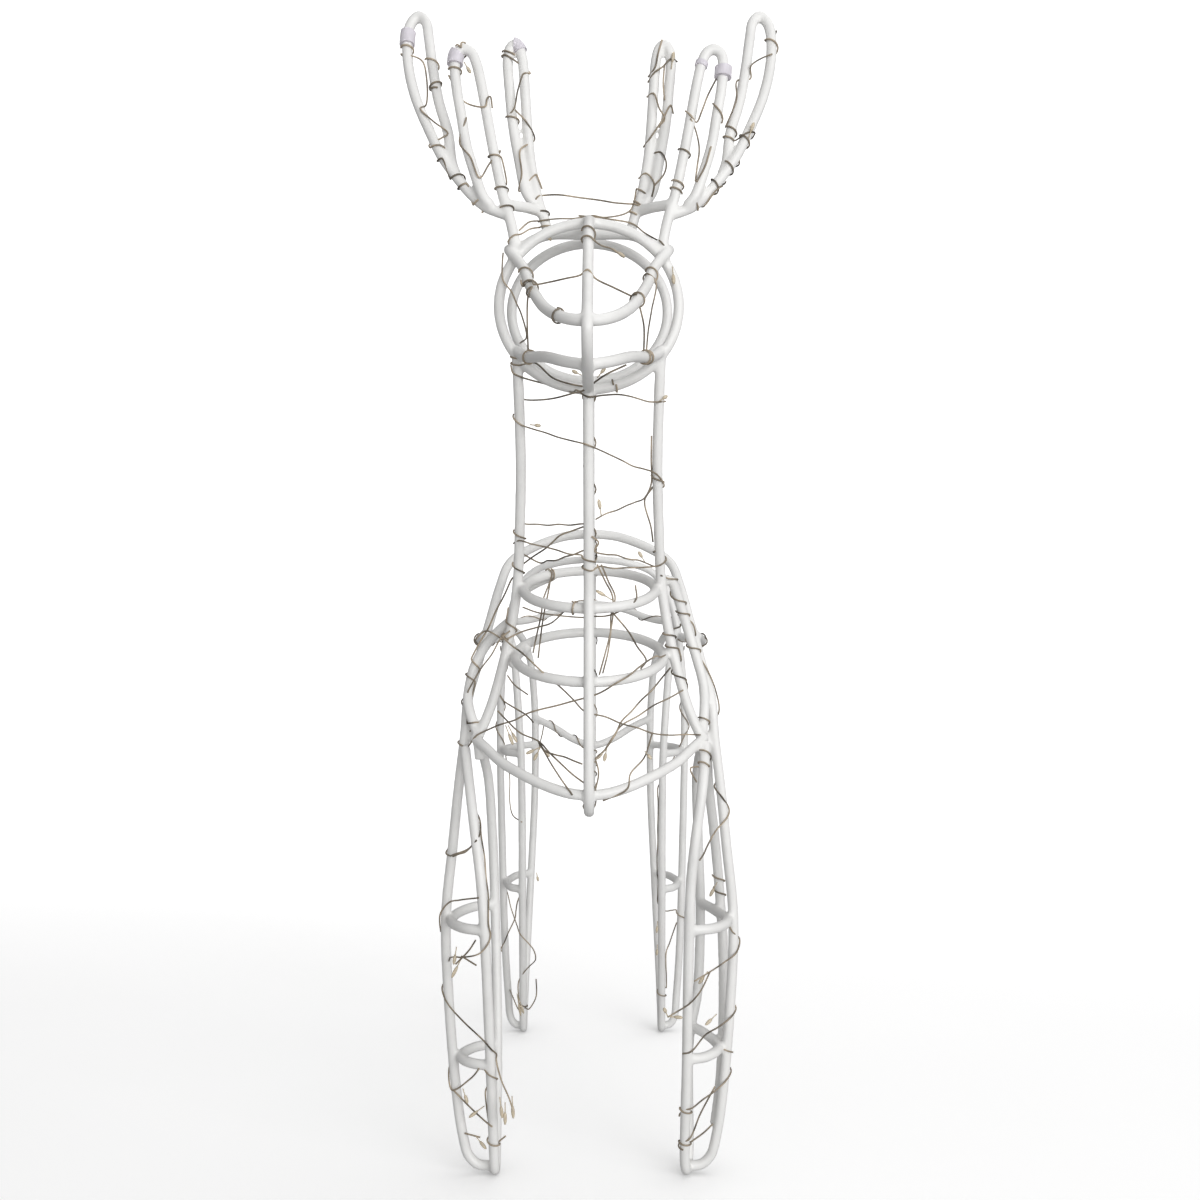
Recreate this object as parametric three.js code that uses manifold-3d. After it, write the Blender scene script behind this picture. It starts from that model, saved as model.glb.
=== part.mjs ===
// Light-up reindeer: a standing deer drawn in welded steel rod, coated white, with a string of small lights.
// Millimetres, +Z up. The deer faces -Y. "left" and "right" are as seen from in front of it.
// The routes are measured from the line between the two front feet, and the finished group is moved
// at the end, so that its origin is on the ground under the middle of its box.

import * as THREE from "three";
import { mergeVertices } from "three/addons/utils/BufferGeometryUtils.js";
import Module from "manifold-3d";

const wasm = await Module();
wasm.setup();

// Driving dimensions

const rodDiameter = 8;
// six sides, with the corners a little outside the round rod so that it keeps its thickness
const rodSides = 6;
const cornerScale = 1.05;
const jointGap = 0.3;
// how far a coped end may be off, to keep its faces few
const copeTolerance = 0.2;
// rods that cross are let into each other, so that their centre lines are this far apart
const lap = 5;
// what a foot has lost where it stands, so that it rests on a real flat
const footFlat = 0.8;

const head = {
  y: -66,
  z: 653,
  ring: { halfWidth: 65, halfHeight: 60 },
  napeY: -4,
  napeZ: 664,
  napeRing: { halfWidth: 60, halfHeight: 53 },
  crownZ: 715,
  noseY: -196,
  noseZ: 608,
  muzzleZ: 612.5,
  chinY: -168,
  chinZ: 589,
  throatY: -110,
};

const neck = {
  y: -16,
  collar: { z: 451, radius: 50, halfDepth: 56, tilt: 17 },
  chestHoop: { z: 400, radius: 56, halfDepth: 62, tilt: 17 },
};

const shoulder = { x: 88, y: -14, z: 338 };
const brisket = { y: -76, z: 301 };
const withers = { y: 84, z: 501 };
const hips = { y: 378, z: 498 };
const rump = { y: 447, z: 400 };
const bellyZ = 286;
const railZ = 415;

const frontLeg = {
  y: 0,
  footX: 73,
  kneeZ: 197,
  outerX: 111,
};

// what differs between the front legs, which were bent by hand: the left loop starts at the outer rod and
// the right one at the shoulder, the back of the right loop is further out and its lower rung is higher,
// the shoulder rods start at different heights, and only the right leg has a brace behind its outer rod
const frontLegSides = {
  left: {
    front: [
      [95.5, -7, 330],
      [89.5, -24, 294],
      [84.5, -36, 263],
      [80.5, -42, 236],
      [77.5, -43, 197],
      [74.5, -24, 91],
    ],
    footBackX: 73,
    back: [
      [73.5, 29, 91],
      [77.5, 55, 197],
      [80, 59, 254],
      [83, 52, 302],
      [88, 22, 331],
    ],
    upperRung: [
      [103, 23, 197],
      [92, 46, 197],
      [77.5, 55, 197],
    ],
    lowerRung: [
      [73.5, -24, 91],
      [87, -20, 91],
      [96, -11, 91],
      [99.5, 0, 91],
      [96, 12, 91],
      [87, 24, 91],
      [73.5, 29, 91],
    ],
    shoulderRod: [
      [60, -9, 427],
      [71, -3, 418],
      [81, 3, 407],
      [89.5, 4, 391],
      [93, 1, 376],
      [93.5, -6, 365],
      [90.5, -11, 354],
      [shoulder.x - 2, shoulder.y + 1, 342],
    ],
  },
  right: {
    front: [
      [shoulder.x, shoulder.y - 6, shoulder.z - 4],
      [84, -41, 303],
      [79, -46, 268],
      [75.5, -45, 236],
      [74, -43, 197],
      [73.5, -24, 91],
    ],
    footBackX: 77,
    back: [
      [79, 30, 96],
      [86, 39, 128],
      [89, 49, 170],
      [89.5, 53, 205],
      [88, 57, 254],
      [86.5, 51, 302],
      [89, 22, 331],
    ],
    upperRung: [
      [101.5, 20, 197],
      [96, 37, 198],
      [89.3, 52, 199],
    ],
    lowerRung: [
      [73.5, -25, 96],
      [87, -20, 96],
      [96, -11, 97],
      [99.5, 0, 98],
      [96, 12, 100],
      [88, 23, 103],
      [80.5, 32, 104],
    ],
    shoulderRod: [
      [52, neck.y + 6, 454],
      [62, -3, 458],
      [69, 3, 443],
      [75, 6, 424],
      [83, 6, 398],
      [88, 3, 378],
      [88.5, -3, 362],
      [shoulder.x - 2, shoulder.y + 2, shoulder.z],
    ],
    brace: [
      [90, -1, 334],
      [92, 10, 312],
      [94, 20, 294],
      [98, 25, 263],
      [102, 28.5, 224],
      [103.9, 28.6, 199],
      [105, 23, 175],
      [105, 16, 130],
      [103.5, 12, 91],
      [101, 8.3, 62],
      [97, 4, 36],
    ],
  },
};

const rearLeg = {
  y: 370,
  footX: 72.5,
  stifleZ: 297,
  stifleHalfDepth: 54,
  hockZ: 158,
  hockHalfDepth: 46,
  outerX: 97,
};

const footRadius = 8.5;
const rodRadius = (rodDiameter / 2) * cornerScale;
const soleZ = rodRadius - footFlat;

// the lead of the light string, and how far from a rod's middle it winds
const leadRadius = 0.75;
const leadSides = 3;
const windRadius = 7.3;
const leadStepsPerTurn = 4;

// Materials

function whiteCoat() {
  return new THREE.MeshStandardMaterial({ color: 0xf3f2ef, roughness: 0.35, metalness: 0.0 });
}

function leadCover() {
  return new THREE.MeshStandardMaterial({ color: 0xb9a88c, roughness: 0.5, metalness: 0.0 });
}

// Solids

const group = new THREE.Group();
const laid = [];
const lines = new Map();

function toSolid(geometry) {
  geometry.deleteAttribute("normal");
  geometry.deleteAttribute("uv");
  const merged = mergeVertices(geometry, 1e-4);
  return new wasm.Manifold(
    new wasm.Mesh({
      numProp: 3,
      vertProperties: new Float32Array(merged.attributes.position.array),
      triVerts: new Uint32Array(merged.index.array),
    }),
  );
}

function toGeometry(solid) {
  const mesh = solid.getMesh();
  const geometry = new THREE.BufferGeometry();
  geometry.setAttribute("position", new THREE.BufferAttribute(new Float32Array(mesh.vertProperties), 3));
  geometry.setIndex(new THREE.BufferAttribute(new Uint32Array(mesh.triVerts), 1));
  return geometry;
}

function roundSection(radius, sides) {
  const corners = [];
  for (let i = 0; i < sides; i += 1) {
    const angle = ((i + 0.5) / sides) * 2 * Math.PI;
    corners.push(new THREE.Vector2(radius * Math.cos(angle), radius * Math.sin(angle)));
  }
  return new THREE.Shape(corners);
}

// a smooth line through the route's points, with the same number of steps between each two of them,
// so that the steps are short where the points are close, at the bends
class RodLine extends THREE.CatmullRomCurve3 {
  constructor(route) {
    super(
      route.map((p) => new THREE.Vector3(...p)),
      false,
      "centripetal",
    );
  }

  getPointAt(u, target) {
    return this.getPoint(u, target);
  }

  getTangentAt(u, target) {
    return this.getTangent(u, target);
  }
}

function tube(route, stepsPerSpan, radius, sides) {
  return new THREE.ExtrudeGeometry(roundSection(radius, sides), {
    steps: stepsPerSpan * (route.length - 1),
    bevelEnabled: false,
    extrudePath: new RodLine(route),
  });
}

// the round bend at the bottom of a leg's loop, from its front to its back, which may stand further out
function footBend(frontX, backX, y) {
  const bend = [];
  for (const degrees of [180, 225, 270, 315, 360]) {
    const angle = THREE.MathUtils.degToRad(degrees);
    const x = frontX + ((backX - frontX) * (degrees - 180)) / 180;
    bend.push([x, y + footRadius * Math.cos(angle), soleZ + footRadius + footRadius * Math.sin(angle)]);
  }
  return bend;
}

// a round or slightly oval ring of rod, upright across the deer, then tipped forward by tilt degrees
function ringTube({ halfWidth, halfHeight, y, z, tilt, radius, steps }) {
  const mean = (halfWidth + halfHeight) / 2;
  const geometry = new THREE.TorusGeometry(mean, radius, rodSides, steps);
  const position = geometry.attributes.position;
  for (let i = 0; i < position.count; i += 1) {
    const angle = Math.atan2(position.getY(i), position.getX(i));
    position.setX(i, position.getX(i) + (halfWidth - mean) * Math.cos(angle));
    position.setY(i, position.getY(i) + (halfHeight - mean) * Math.sin(angle));
  }
  geometry.rotateX(THREE.MathUtils.degToRad(90 - tilt));
  geometry.translate(0, y, z);
  return geometry;
}

function largestPiece(solid) {
  return solid.decompose().reduce((best, piece) => (piece.volume() > best.volume() ? piece : best));
}

// each rod is coped to the rods that are already laid, with a gap for the weld
function lay(name, shape, { cuts = [] } = {}) {
  let solid = toSolid(shape(rodRadius));
  for (const earlier of laid) {
    solid = solid.subtract(earlier);
  }
  for (const cut of cuts) {
    solid = solid.subtract(cut);
  }
  const mesh = new THREE.Mesh(toGeometry(largestPiece(solid.simplify(copeTolerance))), whiteCoat());
  mesh.name = name;
  group.add(mesh);
  laid.push(toSolid(shape(rodRadius + jointGap)));
}

function layRod(name, route, steps, options) {
  lay(name, (radius) => tube(route, steps, radius, rodSides), options);
  lines.set(name, { curve: new RodLine(route), spans: route.length - 1 });
}

function layRing(name, ring) {
  lay(name, (radius) => ringTube({ ...ring, radius }));
}

// an open rod that is alike on both sides: the route runs from the left end to the middle
function layArch(name, halfRoute, steps) {
  const back = halfRoute
    .slice(0, -1)
    .reverse()
    .map(([x, y, z]) => [-x, y, z]);
  layRod(name, [...halfRoute, ...back], steps);
}

const sides = [
  { word: "left", sign: -1 },
  { word: "right", sign: 1 },
];

function mirrored(route, sign) {
  return route.map(([x, y, z]) => [sign * x, y, z]);
}

const ground = toSolid(new THREE.BoxGeometry(600, 1200, 20).translate(0, 200, -10));

// Head

function layHead() {
  layRing("head_ring", {
    halfWidth: head.ring.halfWidth,
    halfHeight: head.ring.halfHeight,
    y: head.y,
    z: head.z,
    tilt: 0,
    steps: 14,
  });
  layRing("nape_ring", {
    halfWidth: head.napeRing.halfWidth,
    halfHeight: head.napeRing.halfHeight,
    y: head.napeY,
    z: head.napeZ,
    tilt: 0,
    steps: 14,
  });
  const napeTop = head.napeZ + head.napeRing.halfHeight;
  const napeFoot = head.napeZ - head.napeRing.halfHeight;
  layRod(
    "face_rod",
    [
      [0, head.napeY, napeTop],
      [0, -30, napeTop + 2],
      [0, head.y, head.crownZ],
      [0, -95, 701],
      [0, -130, 670],
      [0, -165, 637],
      [0, head.noseY + 6, 616],
      [0, head.noseY, head.noseZ],
      [0, head.noseY + 6, 597],
      [0, head.chinY - 5, head.chinZ - 1],
      [0, -150, head.chinZ - 4],
      [0, head.throatY, 586],
      [0, head.y, head.z - head.ring.halfHeight - lap],
      [0, -30, 598],
      [0, head.napeY, napeFoot],
    ],
    1,
  );
  layArch(
    "muzzle_rod",
    [
      [-58.5, -56, 697],
      [-56.5, head.y, 692],
      [-51.5, -73, 685],
      [-46, -84, 675],
      [-42, -101, 661.5],
      [-37, -123, 648],
      [-27, -158, 628],
      [-13, -184, 615.5],
      [0, head.noseY + lap, head.muzzleZ],
    ],
    1,
  );
  layArch(
    "jaw_rod",
    [
      [-52, head.y, 621],
      [-46, -84, 613],
      [-28, -133, 602],
      [-13.5, -158, 593.5],
      [0, head.chinY + 1, head.chinZ + 1],
    ],
    1,
  );
  layArch(
    "brow_bar",
    [
      [-46, head.y, 697],
      [-40, -50, 706],
      [-29, -39, 713],
      [0, -36, 714],
    ],
    1,
  );
}

// Antlers: on each side a middle tine on the beam, an outer tine, an inner tine and a short bar

function layAntler({ word, sign }) {
  layRod(
    `${word}_antler_middle_tine`,
    mirrored(
      [
        [52.5, -65, 692],
        [55, -63, 707],
        [58, -62, 720],
        [62, -61, 733],
        [69.5, -57, 768],
        [74, -55, 792],
        [78.5, -53, 817],
        [83, -51, 836],
        [86.5, -50, 843.5],
        [92, -50, 846],
        [97, -50, 842.5],
        [98.5, -51, 834],
        [97, -53, 816],
        [93.5, -55, 796],
        [89.5, -57, 773],
        [84, -60, 754],
        [76.5, -63, 733],
      ],
      sign,
    ),
    1,
  );
  layRod(
    `${word}_antler_outer_tine`,
    mirrored(
      [
        [58, -61, 720],
        [66, -60, 723],
        [75, -59, 727],
        [86, -57, 737],
        [97, -53, 751],
        [108, -50, 767],
        [118, -45, 788],
        [129, -39, 815],
        [135, -34, 840],
        [136.5, -28, 865],
        [134, -25, 877],
        [128.5, -24, 882.5],
        [123, -26, 877],
        [120.5, -29, 864],
        [117, -34, 840],
        [112, -39, 813],
        [104, -45, 785],
        [99, -47, 765],
      ],
      sign,
    ),
    1,
  );
  layRod(
    `${word}_antler_inner_tine`,
    mirrored(
      [
        [30, -38, 712],
        [34, -38, 727],
        [38, -37, 739],
        [44, -35, 771],
        [46.3, -35, 796],
        [48, -34, 822],
        [50, -33, 846],
        [52.5, -32, 854.5],
        [56, -32, 857.5],
        [59.5, -32, 854],
        [61, -32, 845],
        [59.5, -34, 823],
        [57, -35, 797],
        [52, -37, 768],
        [47, -39, 745],
      ],
      sign,
    ),
    1,
  );
  layRod(
    `${word}_antler_bar`,
    mirrored(
      [
        [59, -61, 728],
        [48, -50, 730],
        [36, -37, 731],
      ],
      sign,
    ),
    1,
  );
}

// Neck and chest

function layNeck() {
  layRing("neck_collar", {
    halfWidth: neck.collar.radius,
    halfHeight: neck.collar.halfDepth,
    y: neck.y,
    z: neck.collar.z,
    tilt: 90 - neck.collar.tilt,
    steps: 14,
  });
  layRing("chest_hoop", {
    halfWidth: neck.chestHoop.radius,
    halfHeight: neck.chestHoop.halfDepth,
    y: neck.y,
    z: neck.chestHoop.z,
    tilt: 90 - neck.chestHoop.tilt,
    steps: 14,
  });
  layArch(
    "chest_bow",
    [
      [-shoulder.x, shoulder.y, shoulder.z],
      [-78, -27, 331],
      [-66, -41, 322],
      [-48, -58, 313.5],
      [-30, -69, 306.5],
      [-13, -75, 302],
      [0, brisket.y, brisket.z],
    ],
    1,
  );
  layRod(
    "neck_front_rod",
    [
      [0, head.throatY, 586],
      [0, -104, 560],
      [0, -88, 497],
      [0, -75, 440],
      [0, -80, 385],
      [0, -83, 340],
      [0, brisket.y - lap, brisket.z + 4],
      [0, -72, 291],
      [0, -52, bellyZ],
    ],
    1,
  );
  layRod(
    "neck_back_rod",
    [
      [0, head.napeY, head.napeZ - head.napeRing.halfHeight],
      [0, 9, 565],
      [0, 27, 505],
      [0, 40, 466],
    ],
    1,
  );
  for (const { word, sign } of sides) {
    layRod(
      `${word}_neck_side_rod`,
      mirrored(
        [
          [52, head.y, 618],
          [51, -57, 585],
          [50.5, -44, 540],
          [52, -31, 498],
          [55, neck.y, 452],
          [61, -14, 415],
          [66.5, -14, 391],
          [73.5, -14, 366],
          [79.5, -14, 350],
          [shoulder.x - 3, shoulder.y, shoulder.z],
        ],
        sign,
      ),
      1,
    );
  }
}

// Barrel of the body

function layBody() {
  layRod(
    "spine_rod",
    [
      [0, 40, 470],
      [0, 58, 489],
      [0, withers.y, withers.z],
      [0, 150, 502],
      [0, 230, 499],
      [0, 320, 498],
      [0, hips.y, hips.z],
      [0, 408, 488],
    ],
    1,
  );
  layRod(
    "belly_rod",
    [
      [0, -52, bellyZ],
      [0, 60, 284],
      [0, 200, 283],
      [0, 330, 287],
      [0, 420, 296],
    ],
    1,
  );
  layRod(
    "rump_rod",
    [
      [0, 408, 488],
      [0, 428, 472],
      [0, 442, 450],
      [0, rump.y, rump.z],
      [0, 443, 345],
      [0, 420, 296],
    ],
    1,
  );
  layRod(
    "tail_rod",
    [
      [0, 438, 468],
      [0, 455, 478],
      [0, 472, 481],
      [0, 488, 474],
      [0, 497, 460],
      [0, 497, 445],
      [0, 488, 434],
      [0, 474, 432],
      [0, 444, 440],
    ],
    1,
  );
}

// Legs: an outer rod that runs on over the back (at the hips with a rod of its own), a drop-shaped loop
// with the foot, and two rungs

function layFrontLeg({ word, sign }) {
  const { y, footX, kneeZ, outerX } = frontLeg;
  const own = frontLegSides[word];
  layRod(
    `${word}_front_leg_loop`,
    mirrored(
      [
        ...own.front,
        ...footBend(footX, own.footBackX, y),
        ...own.back,
        [shoulder.x + 2, -2, shoulder.z],
      ],
      sign,
    ),
    1,
    { cuts: [ground] },
  );
  layRod(
    `${word}_front_leg_outer_rod`,
    mirrored(
      [
        [footX + 2, y, 6],
        [86, y, 7],
        [93.5, y, 14],
        [98, y, 30],
        [102.5, y, 60],
        [108.5, y, 130],
        [outerX, y, kneeZ],
        [105.5, y, 255],
        [101, y, 300],
        [96.5, 1, 338],
        [94.5, 6, 366],
        [88.5, 19, 392],
        [80, 36, 427],
        [73, 52, 456],
        [66, 64, 475],
        [51, 76, 487],
        [24, 83, 498],
        [0, withers.y, withers.z],
      ],
      sign,
    ),
    1,
    { cuts: [ground] },
  );
  layRod(
    `${word}_front_leg_upper_rung`,
    mirrored(
      [
        own.front[4],
        [91, y - 37, kneeZ],
        [103, y - 20, kneeZ],
        [outerX - lap, y, kneeZ],
        ...own.upperRung,
      ],
      sign,
    ),
    1,
  );
  layRod(`${word}_front_leg_lower_rung`, mirrored(own.lowerRung, sign), 1);
  if (own.brace) {
    layRod(`${word}_front_leg_brace`, mirrored(own.brace, sign), 1);
  }
  layRod(`${word}_shoulder_rod`, mirrored(own.shoulderRod, sign), 1);
}

// ends of rods that stick out past their welds, on the left-hand side only
function layRodEnds() {
  layRod(
    "collar_end",
    [
      [-29, 29, 463],
      [-41, 30, 458],
      [-52, 31, 452],
    ],
    1,
  );
  layRod(
    "chest_hoop_end",
    [
      [-47, 7, 408],
      [-55, 6, 401],
      [-63, 5, 392],
    ],
    1,
  );
  layRod(
    "shoulder_end",
    [
      [-85, -14, 335],
      [-84, -15, 328],
      [-83.5, -15, 321],
    ],
    1,
  );
}

function layRearLeg({ word, sign }) {
  const { y, footX, stifleZ, stifleHalfDepth, hockZ, hockHalfDepth, outerX } = rearLeg;
  layRod(
    `${word}_rear_leg_loop`,
    mirrored(
      [
        [90, 370, 424],
        [82, 345, 404],
        [77.5, 326, 372],
        [74, 317, 330],
        [72, y - stifleHalfDepth, stifleZ],
        [71, y - 51, 230],
        [71, y - hockHalfDepth, hockZ],
        [72, y - 20, 60],
        ...footBend(footX, footX, y),
        [71, y + 20, 60],
        [67, y + hockHalfDepth, hockZ],
        [63.5, y + stifleHalfDepth, 240],
        [63, y + 60, stifleZ],
        [64.5, y + 62, 350],
        [69, y + 55, 392],
        [78, y + 32, 417],
        [90, y + 12, 426],
      ],
      sign,
    ),
    1,
    { cuts: [ground] },
  );
  layRod(
    `${word}_rear_leg_outer_rod`,
    mirrored(
      [
        [footX + 2, y, 6],
        [81, y, 7],
        [86, y, 14],
        [88.5, y, 38],
        [92, y, 92],
        [95, y, 198],
        [outerX, y, stifleZ],
        [96.5, 372, 350],
        [93, 376, 400],
        [87, 380, 440],
      ],
      sign,
    ),
    1,
    { cuts: [ground] },
  );
  layRod(
    `${word}_hip_rod`,
    mirrored(
      [
        [87, 380, 440],
        [77, 383, 468],
        [62, 383, 485],
        [36, 380, 494],
        [0, hips.y, hips.z],
      ],
      sign,
    ),
    1,
  );
  layRod(
    `${word}_rear_leg_upper_rung`,
    mirrored(
      [
        [72, y - stifleHalfDepth, stifleZ],
        [85, y - 43, stifleZ],
        [91.5, y - 18, stifleZ],
        [outerX - lap, y, stifleZ],
        [89, y + 22, stifleZ],
        [79, y + 46, stifleZ],
        [63, y + 60, stifleZ],
      ],
      sign,
    ),
    1,
  );
  layRod(
    `${word}_rear_leg_lower_rung`,
    mirrored(
      [
        [71, y - hockHalfDepth, hockZ],
        [82, y - 38, hockZ],
        [88, y - 18, hockZ],
        [89, y, hockZ],
        [86, y + 18, hockZ],
        [80, y + 36, hockZ],
        [67, y + hockHalfDepth, hockZ],
      ],
      sign,
    ),
    1,
  );
  layRod(
    `${word}_side_rail`,
    mirrored(
      [
        [85, 30, railZ],
        [95, 110, 412],
        [100, 200, 410],
        [98, 300, 412],
        [91, 376, 417],
      ],
      sign,
    ),
    1,
  );
}

function layHindquarters() {
  layArch(
    "rump_hoop",
    [
      [-89, 378, 432],
      [-78, 400, 432],
      [-60, 419, 436],
      [-34, 433, 446],
      [0, rump.y - lap - 5, 452],
    ],
    1,
  );
  layArch(
    "groin_bow",
    [
      [-63.5, 431, 326],
      [-44, 427, 317],
      [-20, 422, 303],
      [0, 418, 297],
    ],
    1,
  );
}

// Light string: one lead from the left hind foot over the head to the right hind foot

// points that wind along a rod, from one of its route's points to another (counted from 0, and
// in between where it is a fraction); at degrees 0 the lead lies on the rod's outer side
function wind({ word, sign }, name, from, to, turns, degrees = 0, places = leadStepsPerTurn * turns) {
  const { curve, spans } = lines.get(`${word}_${name}`);
  const points = [];
  for (let i = 0; i <= places; i += 1) {
    const share = i / places;
    const u = (from + (to - from) * share) / spans;
    const middle = curve.getPoint(u);
    const along = curve.getTangent(u);
    const outward = new THREE.Vector3(sign, 0, 0).addScaledVector(along, -sign * along.x).normalize();
    const back = new THREE.Vector3().crossVectors(along, outward).multiplyScalar(sign);
    const angle = THREE.MathUtils.degToRad(degrees + 360 * turns * share);
    middle.addScaledVector(outward, windRadius * Math.cos(angle));
    middle.addScaledVector(back, windRadius * Math.sin(angle));
    points.push(middle.toArray());
  }
  return points;
}

// the lead on one side, from the hind foot up to the crown
function halfLead(side) {
  return [
    ...wind(side, "rear_leg_outer_rod", 3, 4.62, 1),
    ...wind(side, "rear_leg_outer_rod", 5.3, 6, 1),
    ...wind(side, "rear_leg_outer_rod", 8, 8.3, 0, 0, 1),
    ...wind(side, "side_rail", 3, 1, 1),
    ...wind(side, "front_leg_outer_rod", 11, 8, 0, 0, 3),
    ...wind(side, "front_leg_outer_rod", 7.3, 6, 1),
    ...wind(side, "front_leg_outer_rod", 4.9, 4.45, 0, 0, 1),
    ...wind(side, "front_leg_outer_rod", 3.8, 3.2, 0, -60, 1),
    ...wind(side, "front_leg_loop", 5.3, 4, 1, 90, 5),
    ...wind(side, "front_leg_loop", 3, 1, 0, 90, 2),
    ...mirrored([[76, -36, 342]], side.sign),
    ...wind(side, "neck_side_rod", 6.4, 6, 0, 75, 1),
    ...wind(side, "neck_side_rod", 5.4, 4, 0, 0, 2),
    ...wind(side, "neck_side_rod", 3, 0.6, 2),
    ...mirrored(
      [
        [66, head.y, 612],
        [75, head.y, head.z],
        [66, -67, 692],
      ],
      side.sign,
    ),
    ...wind(side, "antler_outer_tine", 1.6, 5.2, 0, 0, 4),
    ...wind(side, "antler_outer_tine", 6.2, 8, 0.75, 0, 3),
    ...wind(side, "antler_outer_tine", 14, 15, 0, 90, 1),
    ...mirrored([[94, -63, 801]], side.sign),
    ...wind(side, "antler_middle_tine", 4.6, 3.3, 0, -90, 2),
    ...mirrored([[44, -58, 738]], side.sign),
    ...wind(side, "antler_inner_tine", 2.2, 2, 0, -90, 1),
  ];
}

function layLightString() {
  const [leftHalf, rightHalf] = sides.map(halfLead);
  const lead = tube([...rightHalf, ...leftHalf.reverse()], 1, leadRadius, leadSides);
  const mesh = new THREE.Mesh(toGeometry(toSolid(lead)), leadCover());
  mesh.name = "light_string";
  group.add(mesh);
}

layHead();
sides.forEach(layAntler);
layNeck();
layBody();
sides.forEach(layFrontLeg);
sides.forEach(layRearLeg);
layHindquarters();
layRodEnds();
layLightString();

const box = new THREE.Box3().setFromObject(group);
const middle = box.getCenter(new THREE.Vector3());
group.position.set(-middle.x, -middle.y, -box.min.z);

export default group;
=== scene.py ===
# Light-up reindeer: a standing deer welded from bent steel rod, powder coated white,
# with a thin string of small lights wound along it.

import math
import random

import bmesh
import bpy
from bpy.props import FloatProperty, FloatVectorProperty, IntProperty, PointerProperty
from mathutils import Matrix, Vector


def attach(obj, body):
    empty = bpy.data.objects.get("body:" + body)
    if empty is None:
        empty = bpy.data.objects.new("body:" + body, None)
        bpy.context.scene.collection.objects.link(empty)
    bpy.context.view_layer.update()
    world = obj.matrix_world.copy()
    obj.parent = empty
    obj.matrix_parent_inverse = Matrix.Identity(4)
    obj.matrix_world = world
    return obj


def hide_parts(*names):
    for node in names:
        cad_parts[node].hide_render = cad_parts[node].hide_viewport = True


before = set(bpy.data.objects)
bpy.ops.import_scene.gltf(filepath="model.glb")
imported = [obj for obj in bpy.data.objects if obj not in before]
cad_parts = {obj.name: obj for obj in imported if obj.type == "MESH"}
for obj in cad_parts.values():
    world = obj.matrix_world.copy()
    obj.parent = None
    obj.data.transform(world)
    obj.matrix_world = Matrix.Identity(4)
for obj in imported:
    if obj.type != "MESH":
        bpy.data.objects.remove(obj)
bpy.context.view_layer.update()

bl_info = {
    "name": "Light-up reindeer",
    "version": (1, 0, 0),
    "blender": (4, 5, 0),
    "location": "View3D > Sidebar > Reindeer",
    "description": "Builds a welded wire reindeer with its string of lights",
    "category": "Add Mesh",
}

MM = 0.001

# the line between the front feet, which all the routes are measured from (metres)
FRONT_FEET_Y = -0.15042

# Driving dimensions, in millimetres as the routes are

LAP = 5.0
HEAD_Y = -66.0
HEAD_Z = 653.0
HEAD_RING = (65.0, 60.0)
NAPE_Y = -4.0
NAPE_Z = 664.0
NAPE_RING = (60.0, 53.0)
CROWN_Z = 715.0
NOSE_Y = -196.0
NOSE_Z = 608.0
MUZZLE_Z = 612.5
CHIN_Y = -168.0
CHIN_Z = 589.0
THROAT_Y = -110.0
NECK_Y = -16.0
COLLAR_Z = 451.0
COLLAR = (50.0, 56.0)
CHEST_HOOP_Z = 400.0
CHEST_HOOP = (56.0, 62.0)
HOOP_TILT = 17.0
SHOULDER = (88.0, -14.0, 338.0)
BRISKET_Y = -76.0
BRISKET_Z = 301.0
WITHERS = (0.0, 84.0, 501.0)
HIPS = (0.0, 378.0, 498.0)
RUMP = (0.0, 447.0, 400.0)
BELLY_Z = 286.0
RAIL_Z = 415.0
KNEE_Z = 197.0
KNEE_OUTER_X = 111.0
HIND_Y = 370.0
HIND_FOOT_X = 72.5
FRONT_FOOT_X = 73.0
STIFLE_Z = 297.0
STIFLE_HALF = 54.0
HOCK_Z = 158.0
HOCK_HALF = 46.0
STIFLE_OUTER_X = 97.0
FOOT_RADIUS = 8.5
SOLE_Z = 3.4

# The string, in millimetres: its clearance from a rod, how far a free stretch goes between
# two wavers, how far it wavers, and four times the share of its span by which it sags

LEAD_GAP = 0.1
WAVER_STEP = 12.0
WAVER = 0.7
SAG = 0.05

# The stage, in metres

CAMERA_DISTANCE = 1.016
CAMERA_X = 0.008
CAMERA_HEIGHT = 0.412
CAMERA_LENS = 39.45
CAMERA_SHIFT = 0.0333
FLOOR_WIDTH = 14.0
FLOOR_DEPTH = 8.0
FLOOR_BACK = 4.5
SWEEP_RADIUS = 1.5
BACKDROP_HEIGHT = 6.0
GLOW_START_Y = -0.3
GLOW_END_Y = 3.0
BACKDROP_GLOW = 0.95
AIM_HEIGHT = 0.45

# area lights: place, size and share of the key light's power
LIGHTS = {
    "key": ((2.7, -3.4, 1.6), 2.6, 1.0),
    "front": ((0.6, -4.0, 0.6), 2.0, 0.8),
    "top": ((0.5, 0.3, 3.0), 2.0, 0.2),
}


# Settings that a user would change


class FrameSettings(bpy.types.PropertyGroup):
    rod_diameter: FloatProperty(
        name="Rod diameter",
        description="Diameter of the coated rod",
        default=0.008,
        unit="LENGTH",
    )
    weld_swell: FloatProperty(
        name="Weld swell",
        description="How much thicker the rods are laid before the welds are smoothed down",
        default=0.0001,
        unit="LENGTH",
    )
    mesh_step: FloatProperty(
        name="Mesh step",
        description="Step of the mesh in which the rods are fused",
        default=0.0011,
        unit="LENGTH",
    )
    coat_color: FloatVectorProperty(
        name="Coat colour",
        description="Colour of the powder coat",
        subtype="COLOR",
        size=4,
        min=0.0,
        max=1.0,
        default=(0.86, 0.855, 0.84, 1.0),
    )


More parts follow.
